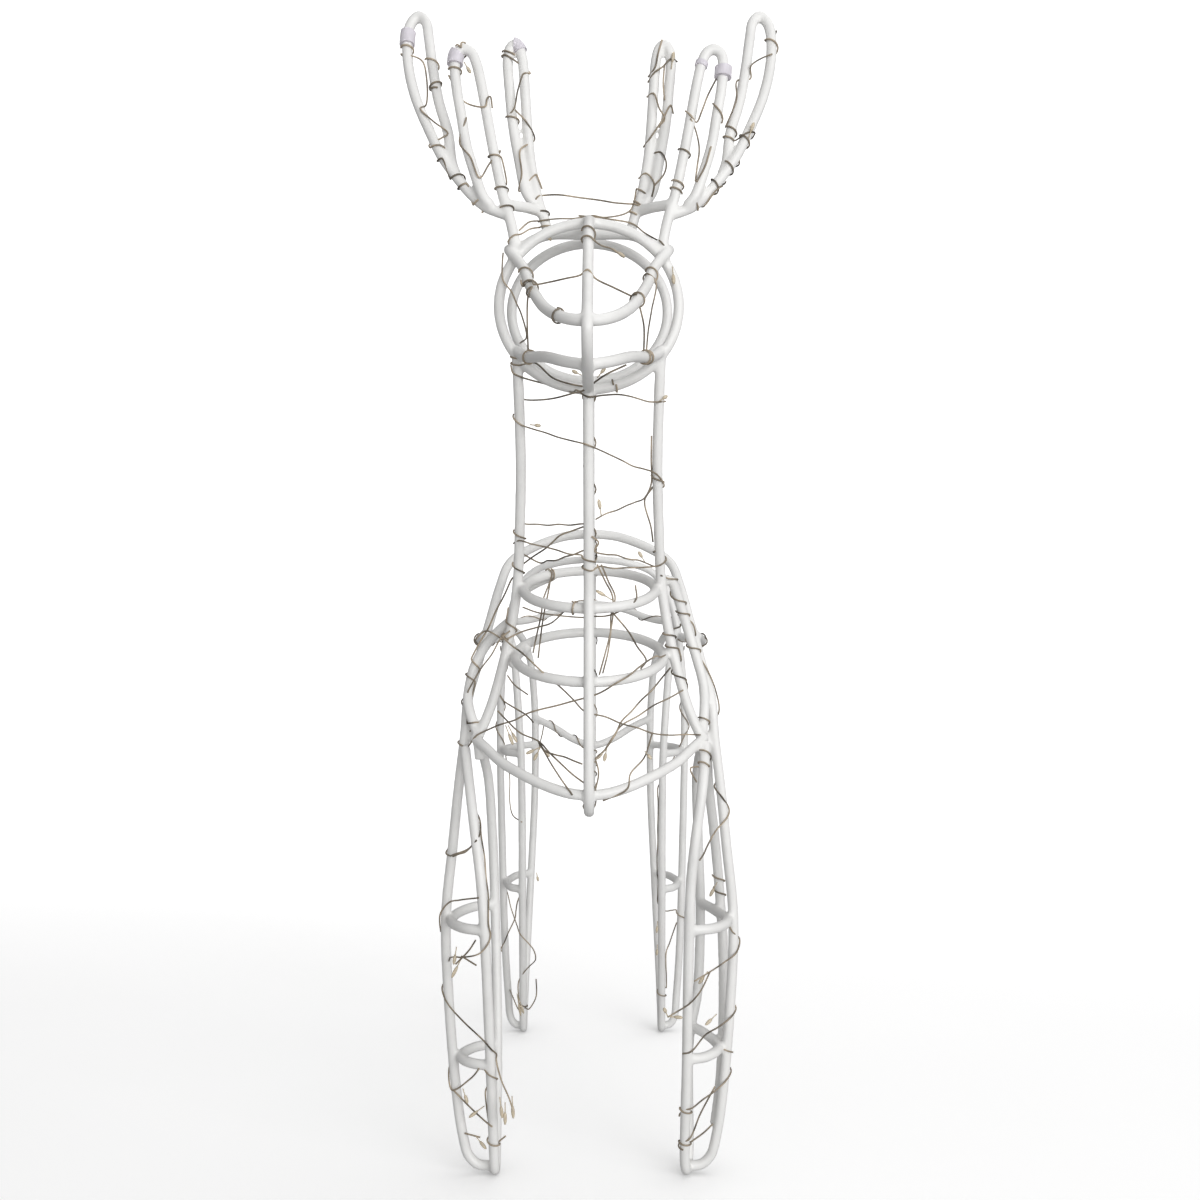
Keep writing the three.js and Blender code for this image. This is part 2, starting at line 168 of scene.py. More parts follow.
class LightSettings(bpy.types.PropertyGroup):
    lead_diameter: FloatProperty(
        name="Lead diameter",
        description="Diameter of the light string's lead",
        default=0.0013,
        unit="LENGTH",
    )
    bulb_diameter: FloatProperty(
        name="Bulb diameter",
        description="Diameter of a bulb where it is widest",
        default=0.0028,
        unit="LENGTH",
    )
    seed: IntProperty(
        name="Seed",
        description="Chooses how the lead wavers and how the bulbs turn",
        default=7,
    )
    lead_color: FloatVectorProperty(
        name="Lead colour",
        description="Colour of the lead's cover",
        subtype="COLOR",
        size=4,
        min=0.0,
        max=1.0,
        default=(0.27, 0.222, 0.165, 1.0),
    )
    bulb_color: FloatVectorProperty(
        name="Bulb colour",
        description="Colour of the bulbs' resin",
        subtype="COLOR",
        size=4,
        min=0.0,
        max=1.0,
        default=(0.80, 0.70, 0.54, 1.0),
    )
    sleeve_color: FloatVectorProperty(
        name="Sleeve colour",
        description="Colour of the frosted sleeves on the antlers",
        subtype="COLOR",
        size=4,
        min=0.0,
        max=1.0,
        default=(0.93, 0.89, 0.955, 1.0),
    )


class StageSettings(bpy.types.PropertyGroup):
    floor_color: FloatVectorProperty(
        name="Floor colour",
        description="Colour of the floor and the backdrop",
        subtype="COLOR",
        size=4,
        min=0.0,
        max=1.0,
        default=(0.93, 0.93, 0.93, 1.0),
    )
    floor_glow: FloatProperty(
        name="Floor glow",
        description="How much the floor shines by itself, so that it stays nearly white",
        default=0.34,
    )
    key_power: FloatProperty(
        name="Key light",
        description="Power of the key light in watts",
        default=80.0,
    )
    ambient: FloatProperty(
        name="Ambient light",
        description="Strength of the light from all round",
        default=0.33,
    )


# Routes of the rods: lists of points in millimetres, one list to a rod


def mirrored(route):
    return [(-x, y, z) for x, y, z in route]


def arch(half):
    """A route that is alike on both sides, from its left half, which ends in the middle."""
    return half + [(-x, y, z) for x, y, z in reversed(half[:-1])]


def ellipse_route(half_sizes, y, z, tilt, count=72):
    """A round or slightly oval ring, upright across the deer and tipped forward by tilt degrees."""
    lean = math.radians(tilt)
    route = []
    for i in range(count):
        angle = 2 * math.pi * i / count
        across = half_sizes[0] * math.cos(angle)
        up = half_sizes[1] * math.sin(angle)
        route.append((across, y + up * math.sin(lean), z + up * math.cos(lean)))
    return route


def foot_bend(front_x, back_x, y):
    """The round bend at the bottom of a leg's loop, from its front to its back."""
    bend = []
    for degrees in (180, 225, 270, 315, 360):
        angle = math.radians(degrees)
        x = front_x + (back_x - front_x) * (degrees - 180) / 180
        up = FOOT_RADIUS + FOOT_RADIUS * math.sin(angle)
        bend.append((x, y + FOOT_RADIUS * math.cos(angle), SOLE_Z + up))
    return bend


def head_routes():
    nape_top = NAPE_Z + NAPE_RING[1]
    nape_foot = NAPE_Z - NAPE_RING[1]
    return {
        "face_rod": [
            (0, NAPE_Y, nape_top), (0, -30, nape_top + 2), (0, HEAD_Y, CROWN_Z), (0, -95, 701),
            (0, -130, 670), (0, -165, 637), (0, NOSE_Y + 6, 616), (0, NOSE_Y, NOSE_Z),
            (0, NOSE_Y + 6, 597), (0, CHIN_Y - 5, CHIN_Z - 1), (0, -150, CHIN_Z - 4),
            (0, THROAT_Y, 586), (0, HEAD_Y, HEAD_Z - HEAD_RING[1] - LAP), (0, -30, 598),
            (0, NAPE_Y, nape_foot),
        ],
        "muzzle_rod": arch(
            [
                (-58.5, -56, 697), (-56.5, HEAD_Y, 692), (-51.5, -73, 685), (-46, -84, 675),
                (-42, -101, 661.5), (-37, -123, 648), (-27, -158, 628), (-13, -184, 615.5),
                (0, NOSE_Y + LAP, MUZZLE_Z),
            ]
        ),
        "jaw_rod": arch(
            [
                (-52, HEAD_Y, 621), (-46, -84, 613), (-28, -133, 602), (-13.5, -158, 593.5),
                (0, CHIN_Y + 1, CHIN_Z + 1),
            ]
        ),
        "brow_bar": arch(
            [(-46, HEAD_Y, 697), (-40, -50, 706), (-29, -39, 713), (0, -36, 714)]
        ),
    }


def antler_routes():
    """The right-hand antler."""
    return {
        "antler_middle_tine": [
            (52.5, -65, 692), (55, -63, 707), (58, -62, 720), (62, -61, 733), (69.5, -57, 768),
            (74, -55, 792), (78.5, -53, 817), (83, -51, 836), (86.5, -50, 843.5), (92, -50, 846),
            (97, -50, 842.5), (98.5, -51, 834), (97, -53, 816), (93.5, -55, 796), (89.5, -57, 773),
            (84, -60, 754), (76.5, -63, 733), (71, -61, 727),
        ],
        "antler_outer_tine": [
            (58, -61, 720), (66, -60, 723), (75, -59, 727), (86, -57, 737), (97, -53, 751),
            (108, -50, 767), (118, -45, 788), (129, -39, 815), (135, -34, 840), (136.5, -28, 865),
            (134, -25, 877), (128.5, -24, 882.5), (123, -26, 877), (120.5, -29, 864), (117, -34, 840),
            (112, -39, 813), (104, -45, 785), (101, -48, 763), (97.5, -51, 753),
        ],
        "antler_inner_tine": [
            (30, -38, 712), (34, -38, 727), (38, -37, 739), (44, -35, 771), (46.3, -35, 796),
            (48, -34, 822), (50, -33, 846), (52.5, -32, 854.5), (56, -32, 857.5), (59.5, -32, 854),
            (61, -32, 845), (59.5, -34, 823), (57, -35, 797), (52, -37, 768), (47, -39, 745),
            (41, -38, 736),
        ],
        "antler_bar": [(59, -61, 728), (48, -50, 730), (36, -37, 731)],
    }


def neck_routes():
    return {
        "chest_bow": arch(
            [
                (-SHOULDER[0], SHOULDER[1], SHOULDER[2]), (-78, -27, 331), (-66, -41, 322),
                (-48, -58, 313.5), (-30, -69, 306.5), (-13, -75, 302), (0, BRISKET_Y, BRISKET_Z),
            ]
        ),
        "neck_front_rod": [
            (0, THROAT_Y, 586), (0, -104, 560), (0, -88, 497), (0, -75, 440), (0, -80, 385),
            (0, -83, 340), (0, BRISKET_Y - LAP, BRISKET_Z + 4), (0, -72, 291), (0, -52, BELLY_Z),
        ],
        "neck_back_rod": [
            (0, NAPE_Y, NAPE_Z - NAPE_RING[1]), (0, 9, 565), (0, 27, 505), (0, 40, 466),
        ],
    }


def neck_side_routes():
    """The neck's rods on the right-hand side."""
    return {
        "neck_side_rod": [
            (52, HEAD_Y, 618), (51, -57, 585), (50.5, -44, 540), (52, -31, 498), (55, NECK_Y, 452),
            (61, -14, 415), (66.5, -14, 391), (73.5, -14, 366), (79.5, -14, 350),
            (SHOULDER[0] - 3, SHOULDER[1], SHOULDER[2]),
        ],
    }


def body_routes():
    return {
        "spine_rod": [
            (0, 40, 470), (0, 58, 489), WITHERS, (0, 150, 502), (0, 230, 499), (0, 320, 498), HIPS,
            (0, 408, 488),
        ],
        "belly_rod": [(0, -52, BELLY_Z), (0, 60, 284), (0, 200, 283), (0, 330, 287), (0, 420, 296)],
        "rump_rod": [(0, 408, 488), (0, 428, 472), (0, 442, 450), RUMP, (0, 443, 345), (0, 420, 296)],
        "tail_rod": [
            (0, 438, 468), (0, 455, 478), (0, 472, 481), (0, 488, 474), (0, 497, 460), (0, 497, 445),
            (0, 488, 434), (0, 474, 432), (0, 444, 440),
        ],
        "rump_hoop": arch(
            [
                (-89, 378, 432), (-78, 400, 432), (-60, 419, 436), (-34, 433, 446),
                (0, RUMP[1] - LAP - 5, 452),
            ]
        ),
        "groin_bow": arch(
            [(-63.5, 431, 326), (-44, 427, 317), (-20, 422, 303), (0, 418, 297)]
        ),
    }


# what differs between the front legs, which were bent by hand: the left loop starts at the
# outer rod and the right one at the shoulder, the back of the right loop is further out and
# its lower rung is higher, the shoulder rods start at different heights, and only the right
# leg has a brace behind its outer rod
LEFT_FRONT_LEG = {
    "front": [
        (95.5, -7, 330), (89.5, -24, 294), (84.5, -36, 263), (80.5, -42, 236), (77.5, -43, 197),
        (74.5, -24, 91),
    ],
    "foot_x": 73,
    "back": [(73.5, 29, 91), (77.5, 55, 197), (80, 59, 254), (83, 52, 302), (88, 22, 331)],
    "upper_rung": [(103, 23, 197), (92, 46, 197), (77.5, 55, 197)],
    "lower_rung": [
        (73.5, -24, 91), (87, -20, 91), (96, -11, 91), (99.5, 0, 91), (96, 12, 91), (87, 24, 91),
        (73.5, 29, 91),
    ],
    "shoulder_rod": [
        (60, -9, 427), (71, -3, 418), (81, 3, 407), (89.5, 4, 391), (93, 1, 376), (93.5, -6, 365),
        (90.5, -11, 354), (86, -13, 342),
    ],
}
RIGHT_FRONT_LEG = {
    "front": [
        (88, -20, 334), (84, -41, 303), (79, -46, 268), (75.5, -45, 236), (74, -43, 197),
        (73.5, -24, 91),
    ],
    "foot_x": 77,
    "back": [
        (79, 30, 96), (86, 39, 128), (89, 49, 170), (89.5, 53, 205), (88, 57, 254), (86.5, 51, 302),
        (89, 22, 331),
    ],
    "upper_rung": [(101.5, 20, 197), (96, 37, 198), (89.3, 52, 199)],
    "lower_rung": [
        (73.5, -25, 96), (87, -20, 96), (96, -11, 97), (99.5, 0, 98), (96, 12, 100), (88, 23, 103),
        (80.5, 32, 104),
    ],
    "shoulder_rod": [
        (52, -10, 454), (62, -3, 458), (69, 3, 443), (75, 6, 424), (83, 6, 398), (88, 3, 378),
        (88.5, -3, 362), (86, -12, 338),
    ],
}
BRACE = [
    (90, -1, 334), (92, 10, 312), (94, 20, 294), (98, 25, 263), (102, 28.5, 224), (103.9, 28.6, 199),
    (105, 23, 175), (105, 16, 130), (103.5, 12, 91), (101, 8.3, 62), (97, 4, 36),
]
# ends of rods that stick out past their welds
ROD_ENDS = {
    "collar_end": [(-29, 29, 463), (-41, 30, 458), (-52, 31, 452)],
    "chest_hoop_end": [(-47, 7, 408), (-55, 6, 401), (-63, 5, 392)],
    "shoulder_end": [(-85, -14, 335), (-84, -15, 328), (-83.5, -15, 321)],
}


def front_leg_routes(own):
    """A front leg as on the right-hand side, with its outer rod running on over the withers."""
    return {
        "front_leg_loop": own["front"]
        + foot_bend(FRONT_FOOT_X, own["foot_x"], 0)
        + own["back"]
        + [(SHOULDER[0] + 2, -2, SHOULDER[2])],
        "front_leg_outer_rod": [
            (FRONT_FOOT_X + 2, 0, 6), (86, 0, 7), (93.5, 0, 14), (98, 0, 30), (102.5, 0, 60),
            (108.5, 0, 130), (KNEE_OUTER_X, 0, KNEE_Z), (105.5, 0, 255), (101, 0, 300), (96.5, 1, 338),
            (94.5, 6, 366), (88.5, 19, 392), (80, 36, 427), (73, 52, 456), (66, 64, 475), (51, 76, 487),
            (24, 83, 498), WITHERS,
        ],
        "front_leg_upper_rung": [
            own["front"][4],
            (91, -37, KNEE_Z), (103, -20, KNEE_Z), (KNEE_OUTER_X - LAP, 0, KNEE_Z),
        ]
        + own["upper_rung"],
        "front_leg_lower_rung": own["lower_rung"],
        "shoulder_rod": own["shoulder_rod"],
    }


def hind_leg_routes():
    """The right-hand hind leg, with its outer rod running on over the hips, and the side rail."""
    return {
        "rear_leg_loop": [
            (90, 370, 424), (82, 345, 404), (77.5, 326, 372), (74, 317, 330),
            (72, HIND_Y - STIFLE_HALF, STIFLE_Z), (71, HIND_Y - 51, 230),
            (71, HIND_Y - HOCK_HALF, HOCK_Z), (72, HIND_Y - 20, 60),
        ]
        + foot_bend(HIND_FOOT_X, HIND_FOOT_X, HIND_Y)
        + [
            (71, HIND_Y + 20, 60), (67, HIND_Y + HOCK_HALF, HOCK_Z), (63.5, HIND_Y + STIFLE_HALF, 240),
            (63, HIND_Y + 60, STIFLE_Z), (64.5, HIND_Y + 62, 350), (69, HIND_Y + 55, 392),
            (78, HIND_Y + 32, 417), (90, HIND_Y + 12, 426),
        ],
        "rear_leg_outer_rod": [
            (HIND_FOOT_X + 2, HIND_Y, 6), (81, HIND_Y, 7), (86, HIND_Y, 14), (88.5, HIND_Y, 38),
            (92, HIND_Y, 92), (95, HIND_Y, 198), (STIFLE_OUTER_X, HIND_Y, STIFLE_Z), (96.5, 372, 350),
            (93, 376, 400), (87, 380, 440), (77, 383, 468), (62, 383, 485), (36, 380, 494), HIPS,
        ],
        "rear_leg_upper_rung": [
            (72, HIND_Y - STIFLE_HALF, STIFLE_Z), (85, HIND_Y - 43, STIFLE_Z),
            (91.5, HIND_Y - 18, STIFLE_Z), (STIFLE_OUTER_X - LAP, HIND_Y, STIFLE_Z),
            (89, HIND_Y + 22, STIFLE_Z), (79, HIND_Y + 46, STIFLE_Z), (63, HIND_Y + 60, STIFLE_Z),
        ],
        "rear_leg_lower_rung": [
            (71, HIND_Y - HOCK_HALF, HOCK_Z), (82, HIND_Y - 38, HOCK_Z), (88, HIND_Y - 18, HOCK_Z),
            (89, HIND_Y, HOCK_Z), (86, HIND_Y + 18, HOCK_Z), (80, HIND_Y + 36, HOCK_Z),
            (67, HIND_Y + HOCK_HALF, HOCK_Z),
        ],
        "side_rail": [
            (85, 30, RAIL_Z), (95, 110, 412), (100, 200, 410), (98, 300, 412), (91, 376, 417),
        ],
    }


# Lines: the smooth middle line of each rod, in metres


def to_metres(point):
    return Vector((point[0] * MM, point[1] * MM + FRONT_FEET_Y, point[2] * MM))


def smooth_line(points, step=0.003):
    """A centripetal Catmull-Rom line through the points, cut into short steps."""
    ends = [points[0] * 2 - points[1], points[-1] * 2 - points[-2]]
    around = [ends[0]] + points + [ends[1]]
    line = []
    for p0, p1, p2, p3 in zip(around, around[1:], around[2:], around[3:]):
        t1 = max((p1 - p0).length, 1e-9) ** 0.5
        t2 = t1 + max((p2 - p1).length, 1e-9) ** 0.5
        t3 = t2 + max((p3 - p2).length, 1e-9) ** 0.5
        count = max(2, math.ceil((p2 - p1).length / step))
        for i in range(count):
            t = t1 + (t2 - t1) * i / count
            a1 = p0 * ((t1 - t) / t1) + p1 * (t / t1)
            a2 = p1 * ((t2 - t) / (t2 - t1)) + p2 * ((t - t1) / (t2 - t1))
            a3 = p2 * ((t3 - t) / (t3 - t2)) + p3 * ((t - t2) / (t3 - t2))
            b1 = a1 * ((t2 - t) / t2) + a2 * (t / t2)
            b2 = a2 * ((t3 - t) / (t3 - t1)) + a3 * ((t - t1) / (t3 - t1))
            line.append(b1 * ((t2 - t) / (t2 - t1)) + b2 * ((t - t1) / (t2 - t1)))
    line.append(points[-1].copy())
    return line


LINES = {}
RINGS = set()


def keep_line(name, route):
    LINES[name] = smooth_line([to_metres(p) for p in route])


def keep_ring(name, half_sizes, y, z, tilt):
    LINES[name] = [to_metres(p) for p in ellipse_route(half_sizes, y, z, tilt)]
    RINGS.add(name)


def keep_all_lines():
    keep_ring("head_ring", HEAD_RING, HEAD_Y, HEAD_Z, 0)
    keep_ring("nape_ring", NAPE_RING, NAPE_Y, NAPE_Z, 0)
    keep_ring("neck_collar", COLLAR, NECK_Y, COLLAR_Z, 90 - HOOP_TILT)
    keep_ring("chest_hoop", CHEST_HOOP, NECK_Y, CHEST_HOOP_Z, 90 - HOOP_TILT)
    for routes in (head_routes(), neck_routes(), body_routes()):
        for name, route in routes.items():
            keep_line(name, route)
    for routes in (antler_routes(), neck_side_routes(), hind_leg_routes()):
        for name, route in routes.items():
            keep_line("right_" + name, route)
            keep_line("left_" + name, mirrored(route))
    for name, route in front_leg_routes(RIGHT_FRONT_LEG).items():
        keep_line("right_" + name, route)
    for name, route in front_leg_routes(LEFT_FRONT_LEG).items():
        keep_line("left_" + name, mirrored(route))
    keep_line("right_front_leg_brace", BRACE)
    for name, route in ROD_ENDS.items():
        keep_line(name, route)


# Making meshes


def clear_selection():
    if bpy.context.mode != "OBJECT":
        bpy.ops.object.mode_set(mode="OBJECT")
    bpy.ops.object.select_all(action="DESELECT")


def pick(*objects):
    clear_selection()
    for thing in objects:
        thing.select_set(True)
    bpy.context.view_layer.objects.active = objects[0]


def apply_modifiers(thing):
    pick(thing)
    for modifier in list(thing.modifiers):
        bpy.ops.object.modifier_apply(modifier=modifier.name)


def tubes(name, lines, radius, resolution, rings=()):
    """A mesh of round tubes with closed ends along the lines."""
    clear_selection()
    bpy.ops.curve.primitive_bezier_curve_add(location=(0, 0, 0))
    bundle = bpy.context.object
    bundle.name = name
    curve = bundle.data
    curve.splines.clear()
    curve.dimensions = "3D"
    curve.bevel_depth = radius
    curve.bevel_resolution = resolution
    curve.use_fill_caps = True
    for index, line in enumerate(lines):
        spline = curve.splines.new("POLY")
        spline.points.add(len(line) - 1)
        for point, place in zip(spline.points, line):
            point.co = (*place, 1.0)
        spline.use_cyclic_u = index in rings
    bpy.ops.object.convert(target="MESH")
    return bpy.context.object


def lay_rods(name, names):
    settings = bpy.context.scene.reindeer_frame
    rings = [i for i, n in enumerate(names) if n in RINGS]
    radius = settings.rod_diameter / 2 + settings.weld_swell
    return tubes(name, [LINES[n] for n in names], radius, 3, rings)


# Materials


def new_material(name):
    material = bpy.data.materials.new(name)
    material.use_nodes = True
    tree = material.node_tree
    return material, tree, tree.nodes["Principled BSDF"]


def object_coordinates(tree):
    return tree.nodes.new("ShaderNodeTexCoord").outputs["Object"]


def object_noise(tree, scale, detail=2.0, roughness=0.5):
    coordinates = object_coordinates(tree)
    noise = tree.nodes.new("ShaderNodeTexNoise")
    noise.inputs["Scale"].default_value = scale
    noise.inputs["Detail"].default_value = detail
    noise.inputs["Roughness"].default_value = roughness
    tree.links.new(coordinates, noise.inputs["Vector"])
    return noise


def ramp(tree, source, stops):
    node = tree.nodes.new("ShaderNodeValToRGB")
    elements = node.color_ramp.elements
    while len(elements) < len(stops):
        elements.new(0.5)
    for element, (place, color) in zip(elements, stops):
        element.position = place
        element.color = color
    tree.links.new(source, node.inputs["Fac"])
    return node


def shade(color, factor):
    return (color[0] * factor, color[1] * factor, color[2] * factor, 1.0)


def bump(tree, shader, height, distance, strength):
    node = tree.nodes.new("ShaderNodeBump")
    node.inputs["Distance"].default_value = distance
    node.inputs["Strength"].default_value = strength
    tree.links.new(height, node.inputs["Height"])
    tree.links.new(node.outputs["Normal"], shader.inputs["Normal"])


def powder_coat(color):
    """White powder coat: faint orange peel, slight unevenness of tone and gloss."""
    material, tree, shader = new_material("white_powder_coat")
    tone = object_noise(tree, 38.0, 4.0, 0.6)
    tint = ramp(tree, tone.outputs["Fac"], [(0.3, shade(color, 0.93)), (0.62, tuple(color))])
    tree.links.new(tint.outputs["Color"], shader.inputs["Base Color"])
    gloss = object_noise(tree, 120.0, 2.0)
    level = tree.nodes.new("ShaderNodeMapRange")
    level.inputs["To Min"].default_value = 0.32
    level.inputs["To Max"].default_value = 0.48
    tree.links.new(gloss.outputs["Fac"], level.inputs["Value"])
    tree.links.new(level.outputs["Result"], shader.inputs["Roughness"])
    peel = object_noise(tree, 620.0, 1.0)
    bump(tree, shader, peel.outputs["Fac"], 0.0004, 0.25)
    shader.inputs["Specular IOR Level"].default_value = 0.45
    return material


def lead_cover(color):
    """Cover of the thin lead, weathered from dark brown to pale beige along its length."""
    material, tree, shader = new_material("lead_cover")
    tone = object_noise(tree, 42.0, 2.0, 0.6)
    tint = ramp(
        tree,
        tone.outputs["Fac"],
        [(0.36, shade(color, 0.34)), (0.5, tuple(color)), (0.62, shade(color, 1.7))],
    )
    tree.links.new(tint.outputs["Color"], shader.inputs["Base Color"])
    shader.inputs["Roughness"].default_value = 0.5
    return material


def bulb_resin(color):
    """Milky clear resin of the small bulbs."""
    material, tree, shader = new_material("bulb_resin")
    tone = object_noise(tree, 260.0, 1.0)
    tint = ramp(tree, tone.outputs["Fac"], [(0.3, shade(color, 0.88)), (0.7, tuple(color))])
    tree.links.new(tint.outputs["Color"], shader.inputs["Base Color"])
    shader.inputs["Roughness"].default_value = 0.22
    shader.inputs["Transmission Weight"].default_value = 0.35
    shader.inputs["IOR"].default_value = 1.5
    return material


def frosted_plastic(color):
    """Frosted see-through plastic of the sleeves."""
    material, tree, shader = new_material("frosted_plastic")
    tone = object_noise(tree, 160.0, 2.0)
    tint = ramp(tree, tone.outputs["Fac"], [(0.3, shade(color, 0.9)), (0.7, tuple(color))])
    tree.links.new(tint.outputs["Color"], shader.inputs["Base Color"])
    shader.inputs["Roughness"].default_value = 0.55
    shader.inputs["Transmission Weight"].default_value = 0.3
    peel = object_noise(tree, 900.0, 1.0)
    bump(tree, shader, peel.outputs["Fac"], 0.0003, 0.3)
    return material


def backdrop_paper(color, glow):
    """Pale paper that shines a little by itself: least near the deer, so that its feet still
    darken the floor, and more towards the backdrop. Close to the feet the glow is also dimmed
    by ambient occlusion, which is a painted contact shadow."""
    material, tree, shader = new_material("floor")
    tone = object_noise(tree, 3.0, 2.0)
    tint = ramp(tree, tone.outputs["Fac"], [(0.3, shade(color, 0.985)), (0.7, tuple(color))])
    tree.links.new(tint.outputs["Color"], shader.inputs["Base Color"])
    shader.inputs["Roughness"].default_value = 0.9
    shader.inputs["Emission Color"].default_value = (1.0, 1.0, 1.0, 1.0)
    place = tree.nodes.new("ShaderNodeSeparateXYZ")
    tree.links.new(object_coordinates(tree), place.inputs["Vector"])
    rise = tree.nodes.new("ShaderNodeMapRange")
    rise.interpolation_type = "SMOOTHSTEP"
    rise.inputs["From Min"].default_value = GLOW_START_Y
    rise.inputs["From Max"].default_value = GLOW_END_Y
    rise.inputs["To Min"].default_value = glow
    rise.inputs["To Max"].default_value = BACKDROP_GLOW
    tree.links.new(place.outputs["Y"], rise.inputs["Value"])
    # painted contact shadow: ambient occlusion dims the floor's glow close to the deer's feet
    painted_contact_shadow = tree.nodes.new("ShaderNodeAmbientOcclusion")
    painted_contact_shadow.inputs["Distance"].default_value = 0.04
    glow_less_painted_shadow = tree.nodes.new("ShaderNodeMath")
    glow_less_painted_shadow.operation = "MULTIPLY"
    tree.links.new(rise.outputs["Result"], glow_less_painted_shadow.inputs[0])
    tree.links.new(painted_contact_shadow.outputs["AO"], glow_less_painted_shadow.inputs[1])
    tree.links.new(glow_less_painted_shadow.outputs["Value"], shader.inputs["Emission Strength"])
    return material


def dress(piece, material):
    piece.data.materials.clear()
    piece.data.materials.append(material)


# Winding the light string


def line_place(name, where):
    """Index along a rod's line: a share of its length (0 to 1), or a height in millimetres
    from its first point on."""
    line = LINES[name]
    if 0 <= where <= 1:
        return where * (len(line) - 1)
    height = where * MM
    for i, (a, b) in enumerate(zip(line, line[1:])):
        if (a.z - height) * (b.z - height) <= 0 and a.z != b.z:
            return i + (height - a.z) / (b.z - a.z)
    raise ValueError(f"{name} doesn't reach {where} mm")


def around(name, index, degrees, distance):
    """A point beside a rod: degrees go round it from the right, over the back and the left."""
    line = LINES[name]
    last = len(line) - 1
    low = max(0, min(last - 1, int(index)))
    middle = line[low].lerp(line[low + 1], index - low)
    before = line[max(0, low - 1)]
    after = line[min(last, low + 2)]
    along = (after - before).normalized()
    right = Vector((1, 0, 0)) - along * along.x
    if right.length < 0.55:
        right = Vector((0, 0, 1)) - along * along.z
    right.normalize()
    back = along.cross(right)
    if back.y < 0:
        back.negate()
    angle = math.radians(degrees)
    return middle + (right * math.cos(angle) + back * math.sin(angle)) * distance


def hold(name, where, degrees, distance):
    return [around(name, line_place(name, where), degrees, distance)]


def wraps(name, start, end, turns, degrees, distance):
    first = line_place(name, start)
    last = line_place(name, end)
    count = max(3, math.ceil(abs(turns) * 12))
    points = []
    for i in range(count + 1):
        share = i / count
        index = first + (last - first) * share
        points.append(around(name, index, degrees + 360 * turns * share, distance))
    return points


# short names of the rods on which the lead is wound most
LEFT_OUTER = "left_antler_outer_tine"
LEFT_MIDDLE = "left_antler_middle_tine"
LEFT_INNER = "left_antler_inner_tine"
RIGHT_OUTER = "right_antler_outer_tine"
RIGHT_MIDDLE = "right_antler_middle_tine"
RIGHT_INNER = "right_antler_inner_tine"
LEFT_NECK = "left_neck_side_rod"
RIGHT_NECK = "right_neck_side_rod"
NECK_FRONT = "neck_front_rod"
LEFT_SHOULDER = "left_shoulder_rod"
RIGHT_SHOULDER = "right_shoulder_rod"
LEFT_LEG_LOOP = "left_front_leg_loop"
LEFT_LEG_SIDE = "left_front_leg_outer_rod"
RIGHT_LEG_LOOP = "right_front_leg_loop"
RIGHT_LEG_SIDE = "right_front_leg_outer_rod"
LEFT_HIND_LOOP = "left_rear_leg_loop"
LEFT_HIND_SIDE = "left_rear_leg_outer_rod"
RIGHT_HIND_LOOP = "right_rear_leg_loop"
RIGHT_HIND_SIDE = "right_rear_leg_outer_rod"


